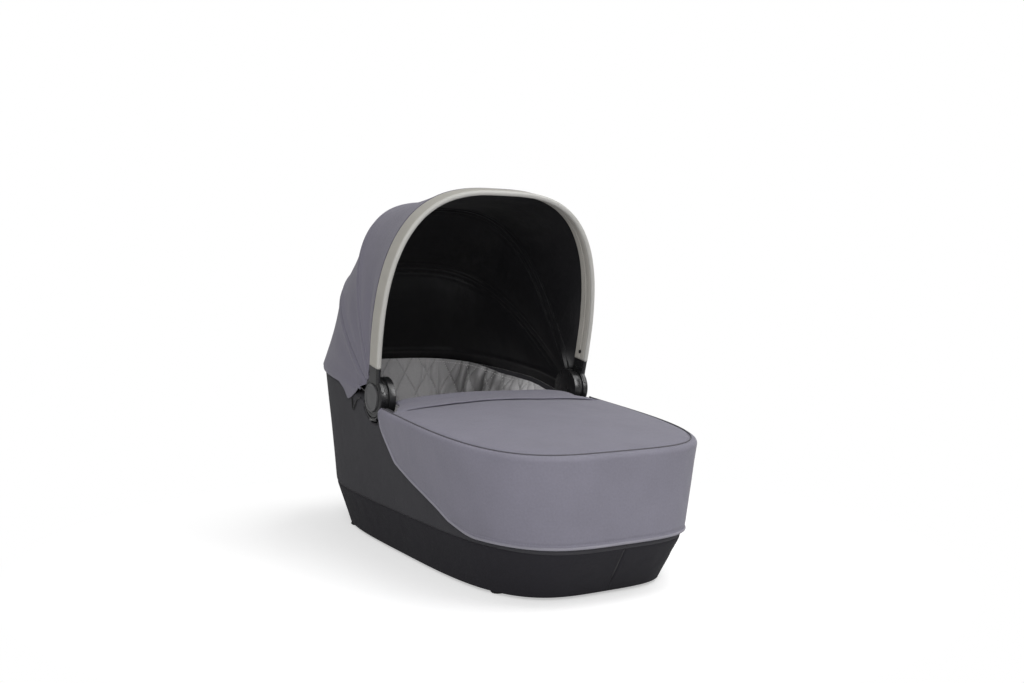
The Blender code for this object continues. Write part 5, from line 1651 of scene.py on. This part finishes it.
lining_cloth = woven("lining cloth", LINING_COLOUR, 0.0006, 0.00002, 0.46, 0.05, specular=0.5)
lining_thread_and_highlight = sewing_thread("lining thread", LINING_THREAD_AND_HIGHLIGHT_COLOUR, 0.5)
for end, place, low_line, high_line, bodies, seams, length, area, carrier in (
    ("front", front_lining, handle_line, mid_line, front_bodies, (1,), 0.202, 0.106, "handle_core"),
    ("middle", middle_lining, mid_line, rear_line, middle_bodies, (0, 1), 0.163, 0.090, "mid_bow"),
    ("rear", rear_lining, rear_line, rim_line, rear_bodies, (0,), 0.209, 0.115, "rear_bow"),
):
    flat = panel_flat(LINING_CUT, low_line, high_line)
    bm = cloth_panel(HOOD_COLUMNS, HOOD_ROWS, place, flat, hub_in_tub, eased=True)
    bmesh.ops.reverse_faces(bm, faces=bm.faces)
    panel = make_piece(f"lining_{end}_panel", bm, lining_cloth, bodies, [f"lining_{end}"])
    thicken(panel, LINING_THICKNESS)
    rows = [seam_row(place, seam, LINING_STITCH_AWAY, -1) for seam in seams]
    sew(f"lining_{end}_stitching", rows, lining_thread_and_highlight, bodies, LINING_STITCH)

# Elastic ties
# A loop of black braided elastic at each side, which pulls the hood's point down over the cover. It
# leaves the hem by the point, hangs in a narrow loop, and runs up behind the hub.
ELASTIC_COLOUR = (0.012, 0.012, 0.012)
ELASTIC_RADIUS = 0.0011
ELASTIC_YS = (0.1075, 0.1094, 0.1096, 0.1076, 0.1010, 0.0820, 0.0600)
ELASTIC_DROPS = (0.0140, 0.0280, 0.0352, 0.0376, 0.0300, 0.0100, 0.0005)
ELASTIC_EASE = 0.05
ELASTIC_LENGTH = 0.065
ELASTIC_GAP = 0.0006
elastic_braid = woven("elastic braid", ELASTIC_COLOUR, 0.0004, 0.00010, 0.75, 0.10)


def elastic_line(side, share):
    """The elastic, which lies on the cover; its bends are rounded off."""
    corners = np.linspace(0.0, 1.0, len(ELASTIC_YS))
    near = np.clip(share + np.linspace(-ELASTIC_EASE, ELASTIC_EASE, 9), 0.0, 1.0)
    y = float(np.interp(near, corners, ELASTIC_YS).mean())
    drop = float(np.interp(near, corners, ELASTIC_DROPS).mean())
    return rim_point(turn_at(y, side), -ELASTIC_RADIUS - ELASTIC_GAP, drop)


for side_name, side in SIDES:
    line = functools.partial(elastic_line, side)
    bm = tube_panel(72, 10, line, ELASTIC_RADIUS, TUB_MIDDLE, ELASTIC_LENGTH)
    make_piece(f"elastic_tie_{side_name}", bm, elastic_braid, "cot", [f"hood_loop_{side_name}"])

# Apron top
# The crowned upper panel of the footmuff: one layer of the hood's cloth over thin wadding. It is sewn
# to the skirt round the foot end, and its head end is folded over as the wind flap.
APRON_COLOUR = (0.197, 0.190, 0.234)
APRON_OUT = 0.0034
APRON_EDGE_OUT = -0.0040
APRON_CROWN = 0.0100
APRON_RISE = 0.0012
APRON_TOP_THICKNESS = 0.0012
APRON_SEAM_Y = -0.040
APRON_EDGE_Y = 0.002
APRON_EDGE_HALF = 0.172
APRON_EDGE_SHARE = 0.12
APRON_COLUMNS = 236
APRON_ROWS = 180
APRON_ROLL = 0.0026
APRON_ROLL_REACH = 0.0030
APRON_WAVE = 0.0016


def ring_share(x, y):
    """How far out a point of the apron's top lies: 0 in the middle and 1 at the seam."""
    across = min(abs(x) / (RIM_LINE.half_width + APRON_OUT), 1.0)
    down = min(abs(min(y, 0.0)) / (RIM_LINE.foot_length + APRON_OUT), 1.0)
    power = RIM_LINE.foot_roundness
    return min((across**power + down**power) ** (1 / power), 1.0)


def apron_height(x, y):
    """The crowned top: level with the rim at its edge, and higher in the middle."""
    return RIM_HEIGHT + RIM_SLOPE_SHARE * y + APRON_RISE + APRON_CROWN * (1 - ring_share(x, y) ** 2)


def apron_surface(x, y):
    """The crowned top with its slack and with its edge rolled down into the seam."""
    inner = 1 - ring_share(x, y)
    z = apron_height(x, y)
    z += APRON_WAVE * soft_noise(x, y, 0.13, 2.0) * smooth(inner * 5)
    z += APRON_WAVE * 0.35 * soft_noise(x, y, 0.045, 6.0) * smooth(inner * 5)
    away = max(inner * RIM_LINE.half_width + APRON_EDGE_OUT, 0.0)
    return z - APRON_ROLL * math.exp(-away / APRON_ROLL_REACH) * smooth((-0.012 - y) / 0.02)


def apron_place(across, down):
    """Rows across the panel, from the folded head edge to the middle of the foot end."""
    if down < APRON_EDGE_SHARE:
        share = down / APRON_EDGE_SHARE
        y = mix(APRON_EDGE_Y, APRON_SEAM_Y, share)
        half = APRON_EDGE_HALF
        if share > 0.99:
            half = rim_point(turn_at(APRON_SEAM_Y), -APRON_EDGE_OUT, 0.0).x
        x = mix(-half, half, across)
        return Vector((x, y, apron_surface(x, y)))
    share = (down - APRON_EDGE_SHARE) / (1 - APRON_EDGE_SHARE)
    turn = mix(turn_at(APRON_SEAM_Y), -math.pi / 2, share**0.8)
    edge = rim_point(turn, -APRON_EDGE_OUT, 0.0)
    bunched = (1 - math.cos(math.pi * across)) / 2
    x = mix(-edge.x, edge.x, mix(across, bunched, 0.6))
    return Vector((x, edge.y, apron_surface(x, edge.y)))


def apron_flat(across, down):
    point = apron_place(across, down)
    return point.x, point.y


apron_cloth = woven("apron cloth", APRON_COLOUR, 0.0007, 0.00006, 0.75, 0.12)
bm = cloth_panel(APRON_COLUMNS, APRON_ROWS, apron_place, apron_flat, closed=True)
apron_piece = make_piece("apron_upper", bm, apron_cloth, "cot", ["apron_top"])
thicken(apron_piece, APRON_TOP_THICKNESS)

# Apron skirt
# The side panel of the footmuff. It rolls out over the rim from its seam and hangs round the foot end.
# Its hem rounds the front of each hub, then slants down, and a row of stitches holds the hem's cord.
SKIRT_THICKNESS = 0.0018
SKIRT_COLUMNS = 440
SKIRT_ROWS = 64
SKIRT_ROLL = 0.0085
SKIRT_OUT = 0.0046
SKIRT_SEAM_DROP = 0.0006
SKIRT_WAVE = 0.0016
HEM_LOW_HEIGHT = 0.0860
HEM_TIP = (-0.0190, 0.2400)
HEM_ROUNDING = ((-0.0160, 0.2345), (-0.0135, 0.2280), (-0.0130, 0.2220), (-0.0150, 0.2145), (-0.0200, 0.2055))
HEM_SLANT = ((-0.0483, 0.1664), (-0.1031, 0.1436), (-0.1442, 0.1289), (-0.1771, 0.1155), (-0.2045, 0.1007))
HEM_FOOT = ((-0.2456, 0.0887), (-0.2620, 0.0862))
HEM_EASE = 0.006
HEM_STITCH_UP = 0.0042
CORD_DIP = (0.0009, 0.0014)
SKIRT_PULL = 0.0010
SKIRT_CUT = (1.25, 0.165)
hem_corners = [HEM_TIP, *HEM_ROUNDING, *HEM_SLANT, *HEM_FOOT]
hem_bends = [(length_at(turn_at(y)), height) for y, height in hem_corners] + [(0.0, HEM_LOW_HEIGHT)]
hem_gone = [0.0]
for low, high in zip(hem_bends, hem_bends[1:]):
    hem_gone.append(hem_gone[-1] + math.dist(low, high))
hem_rim_lengths, hem_corner_heights = zip(*hem_bends)
HEM_LENGTH = 2 * hem_gone[-1]


@functools.cache
def hem_at(gone):
    """The hem after a length along it from a hub: its length round the rim and its height."""
    near = [min(max(gone + step * HEM_EASE / 3, 0.0), hem_gone[-1]) for step in range(-3, 4)]
    rim = sum(float(np.interp(place, hem_gone, hem_rim_lengths)) for place in near) / len(near)
    height = sum(float(np.interp(place, hem_gone, hem_corner_heights)) for place in near) / len(near)
    return rim, height


def hem_share(across):
    """The hem at a share of the way from the left hub round the foot to the right hub, and its side."""
    gone = across * HEM_LENGTH
    side = -1 if gone < HEM_LENGTH / 2 else 1
    rim, height = hem_at(round(gone if side < 0 else HEM_LENGTH - gone, 6))
    return rim, height, side


def skirt_top(rim):
    """The height of the rim beside a place on the hem; at the hem's tip it is the height at the hub."""
    return rim_top(turn_after(min(rim, hem_rim_lengths[0])))


def skirt_place(across, down):
    """The skirt: rolled out over the rim, slack lower down, and pulled in above the hem's cord."""
    rim, low, side = hem_share(across)
    top = skirt_top(rim) - SKIRT_SEAM_DROP
    fall = (top - low) * down
    turn = turn_after(side * mix(min(rim, hem_rim_lengths[0]), rim, down))
    rolled = min(fall / SKIRT_ROLL, 1.0)
    outset = SKIRT_OUT - SKIRT_ROLL * (1 - math.sin(math.acos(1 - rolled)))
    around = across * SKIRT_CUT[0]
    slack = soft_noise(around, fall, 0.11, 3.0) * 0.7 + soft_noise(around, fall, 0.045, 8.0) * 0.3
    outset += SKIRT_WAVE * slack * math.sin(math.pi * down) * rolled
    outset -= SKIRT_PULL * smooth(fall / 0.06)
    outset -= CORD_DIP[0] * bell((1 - down) * (top - low) - HEM_STITCH_UP, CORD_DIP[1]) * rolled
    return wall_at_height(turn, top - fall, -outset)


def skirt_flat(across, down):
    return across * SKIRT_CUT[0], skirt_place(across, down).z


def hem_stitch(across):
    rim, low, _ = hem_share(across)
    return on_cloth(skirt_place, across, 1 - HEM_STITCH_UP / (skirt_top(rim) - low), TUB_MIDDLE)


bm = cloth_panel(SKIRT_COLUMNS, SKIRT_ROWS, skirt_place, skirt_flat, closed=True, eased=True)
skirt_piece = make_piece("apron_side", bm, apron_cloth, "cot", ["apron_skirt"])
thicken(skirt_piece, SKIRT_THICKNESS)
apron_thread = sewing_thread("apron thread", tuple(1.15 * part for part in APRON_COLOUR))
hem_stitching = sew("hem_stitching", [row_of(0.03, 0.97, 500, hem_stitch)], apron_thread, "cot", HOOD_STITCH)

# Apron piping
# Cords covered in cloth and sewn in: a paler one round the hem of the skirt, and a thin one that lies
# deep in the seam between the skirt and the top, coloured dark as painted shade in the seam.
PIPING_RADIUS = 0.0021
PIPING_OUT = 0.0032
PIPING_DROP = 0.0008
PIPING_COLOUR = (0.250, 0.243, 0.283)
SEAM_PIPING_RADIUS = 0.0010
SEAM_PIPING_OUT = -0.0040
SEAM_PIPING_RISE = 0.0001
# Darker than the apron's cloth: painted shade in the seam.
SEAM_PIPING_SHADE_COLOUR = (0.100, 0.096, 0.114)


def hem_centre(along):
    rim, low, side = hem_share(along)
    return wall_at_height(turn_after(side * rim), low - PIPING_DROP, -PIPING_OUT)


def seam_centre(along):
    side = -1 if along < 0.5 else 1
    rim = hem_rim_lengths[0] * abs(2 * along - 1)
    return rim_point(turn_after(side * rim), -SEAM_PIPING_OUT, -SEAM_PIPING_RISE)


hem_tape = woven("hem piping cloth", PIPING_COLOUR, 0.0006, 0.00005, 0.7, 0.15)
seam_shade_tape = woven("seam piping painted shade", SEAM_PIPING_SHADE_COLOUR, 0.0006, 0.00005, 0.7, 0.10)
for name, centre, radius, finish, node in (
    ("hem_cord", hem_centre, PIPING_RADIUS, hem_tape, "apron_hem_piping"),
    ("seam_cord", seam_centre, SEAM_PIPING_RADIUS, seam_shade_tape, "apron_seam_piping"),
):
    bm = tube_panel(500, 14, centre, radius, TUB_MIDDLE, SKIRT_CUT[0])
    make_piece(name, bm, finish, "cot", [node])

# Wind flap
# The head end of the apron, folded back on itself with a soft round fold and lying flat. Its loose
# edge is turned under and sewn. It turns up on its fold.
FLAP_LENGTH = 0.068
FLAP_THICKNESS = 0.0020
FLAP_LIFT = 0.0014
FLAP_HALF = 0.171
FLAP_HALF_LOW = 0.190
FLAP_NOSE = 0.0042
FLAP_SWELL = 0.0020
FLAP_END_DROP = 0.0040
FLAP_FOLD_BACK = 0.0010
FLAP_LUMPS = 0.0009
FLAP_STITCH_SHARE = 0.94
FLAP_COLUMNS = 240
FLAP_ROWS = 60


def flap_place(across, down):
    """The flap's upper face: round the fold from below, a soft roll behind it, then flat to the edge."""
    gone = FLAP_LENGTH * down
    half = FLAP_HALF + (FLAP_HALF_LOW - FLAP_HALF) * smooth((gone - 0.018) / 0.04)
    x = mix(-half, half, across)
    top = FLAP_LIFT + FLAP_THICKNESS + FLAP_SWELL * bell(gone - 0.010, 0.012)
    if gone < FLAP_NOSE:
        half_turn = math.pi * gone / FLAP_NOSE
        y = APRON_EDGE_Y - FLAP_FOLD_BACK + FLAP_NOSE / 2 * math.sin(half_turn)
        rise = top * (1 - math.cos(half_turn)) / 2
    else:
        y = APRON_EDGE_Y - FLAP_FOLD_BACK - (gone - FLAP_NOSE)
        rise = top
    z = apron_surface(x, min(y, APRON_EDGE_Y)) + rise
    z -= FLAP_END_DROP * math.exp(-(half - abs(x)) / 0.012)
    z += FLAP_LUMPS * soft_noise(x, y, 0.05, 11.0) * smooth(gone / 0.012)
    return Vector((x, y, z))


def flap_stitch(across):
    return on_cloth(flap_place, across, FLAP_STITCH_SHARE, TUB_MIDDLE)


bm = cloth_panel(FLAP_COLUMNS, FLAP_ROWS, flap_place, rectangle(2 * FLAP_HALF, FLAP_LENGTH))
flap_piece = make_piece("turned_flap", bm, apron_cloth, "wind_flap", ["wind_flap"])
thicken(flap_piece, FLAP_THICKNESS)
flap_row = row_of(0.01, 0.99, 200, flap_stitch)
flap_stitching = sew("flap_stitching", [flap_row], apron_thread, "wind_flap", HOOD_STITCH)

# Floor, lights and camera
# A white ground, a large soft lamp in front on the left, another above on the right, a narrow one in
# front on the right that shows only as a gleam on the black plastic, and the camera.
AIM = Vector((0.0, tub_y, 0.255))
CAMERA_DISTANCE = 1.8
CAMERA_AZIMUTH = math.radians(-29.69)
CAMERA_ELEVATION = math.radians(5.574)
LENS_MM = 37.18
SENSOR_MM = 36.0
SHIFT_X = 0.0251
SHIFT_Y = 0.0547
FLOOR_HALF = 6.0
WHITE_START = 0.40
WHITE_RADIUS = 0.78
GROUND_LIFT = 0.45
WORLD_LIGHT = 0.40
floor_bm = bmesh.new()
bmesh.ops.create_grid(floor_bm, x_segments=1, y_segments=1, size=FLOOR_HALF)
floor = mesh_object("floor", floor_bm)
floor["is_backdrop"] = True


def glow(tree, colour, strength):
    return add_node(tree, "ShaderNodeEmission", {"Color": colour, "Strength": strength}).outputs[0]


ground, tree, shader = new_finish("white ground", (0.80, 0.80, 0.80), 0.9)
wire(shader, {"Specular IOR Level": 0.1})
white = (1.0, 1.0, 1.0, 1.0)
camera_ray = add_node(tree, "ShaderNodeLightPath", {}).outputs["Is Camera Ray"]
away = vector_maths(tree, "LENGTH", object_place(tree))["Value"]
seen_far = maths(tree, "MULTIPLY", camera_ray, map_range(tree, away, 0.0, 1.0, WHITE_START, WHITE_RADIUS))
dark, lift = glow(tree, (0.0, 0.0, 0.0, 1.0), 0.0), glow(tree, white, GROUND_LIFT)
lifted = add_node(tree, "ShaderNodeMixShader", {0: camera_ray, 1: dark, 2: lift}).outputs[0]
near = add_node(tree, "ShaderNodeAddShader", {0: shader.outputs[0], 1: lifted}).outputs[0]
blended = add_node(tree, "ShaderNodeMixShader", {0: seen_far, 1: near, 2: glow(tree, white, 1.0)}).outputs[0]
wire(tree.nodes["Material Output"], {"Surface": blended})
floor.data.materials.append(ground)


def add_lamp(name, location, size, power, target=(0.0, 0.0, 0.25)):
    data = bpy.data.lights.new(name, "AREA")
    data.shape = "RECTANGLE"
    data.size = size[0]
    data.size_y = size[1]
    data.energy = power
    lamp = add_object(name, data)
    lamp.location = location
    lamp.rotation_euler = (Vector(target) - Vector(location)).to_track_quat("-Z", "Y").to_euler()
    return lamp


add_lamp("front", (-1.8, -2.5, 1.55), (2.0, 1.6), 45.0)
add_lamp("above", (1.0, -0.7, 2.5), (2.2, 2.2), 42.0)
gleam = add_lamp("gleam", (1.0, -1.6, 1.30), (0.6, 1.3), 21.0)
gleam.visible_diffuse = False
world = bpy.data.worlds.new("studio")
bpy.context.scene.world = world
world.use_nodes = True
tree = world.node_tree
camera_ray = add_node(tree, "ShaderNodeLightPath", {}).outputs["Is Camera Ray"]
wire(tree.nodes["Background"], {"Color": white, "Strength": map_range(tree, camera_ray, WORLD_LIGHT, 1.0)})

camera_data = bpy.data.cameras.new("camera")
camera_data.lens = LENS_MM
camera_data.sensor_width = SENSOR_MM
camera_data.shift_x = SHIFT_X
camera_data.shift_y = SHIFT_Y
camera = add_object("camera", camera_data)
level = math.cos(CAMERA_ELEVATION)
back_x = math.sin(CAMERA_AZIMUTH) * level
back_y = -math.cos(CAMERA_AZIMUTH) * level
back = Vector((back_x, back_y, math.sin(CAMERA_ELEVATION)))
camera.location = AIM + back * CAMERA_DISTANCE
camera.rotation_euler = (-back).to_track_quat("-Z", "Y").to_euler()
bpy.context.scene.camera = camera
bpy.context.scene.view_settings.view_transform = "Standard"

low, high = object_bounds()
{"cad": [list(cad_low), list(cad_high)], "visual": [list(low), list(high)]}
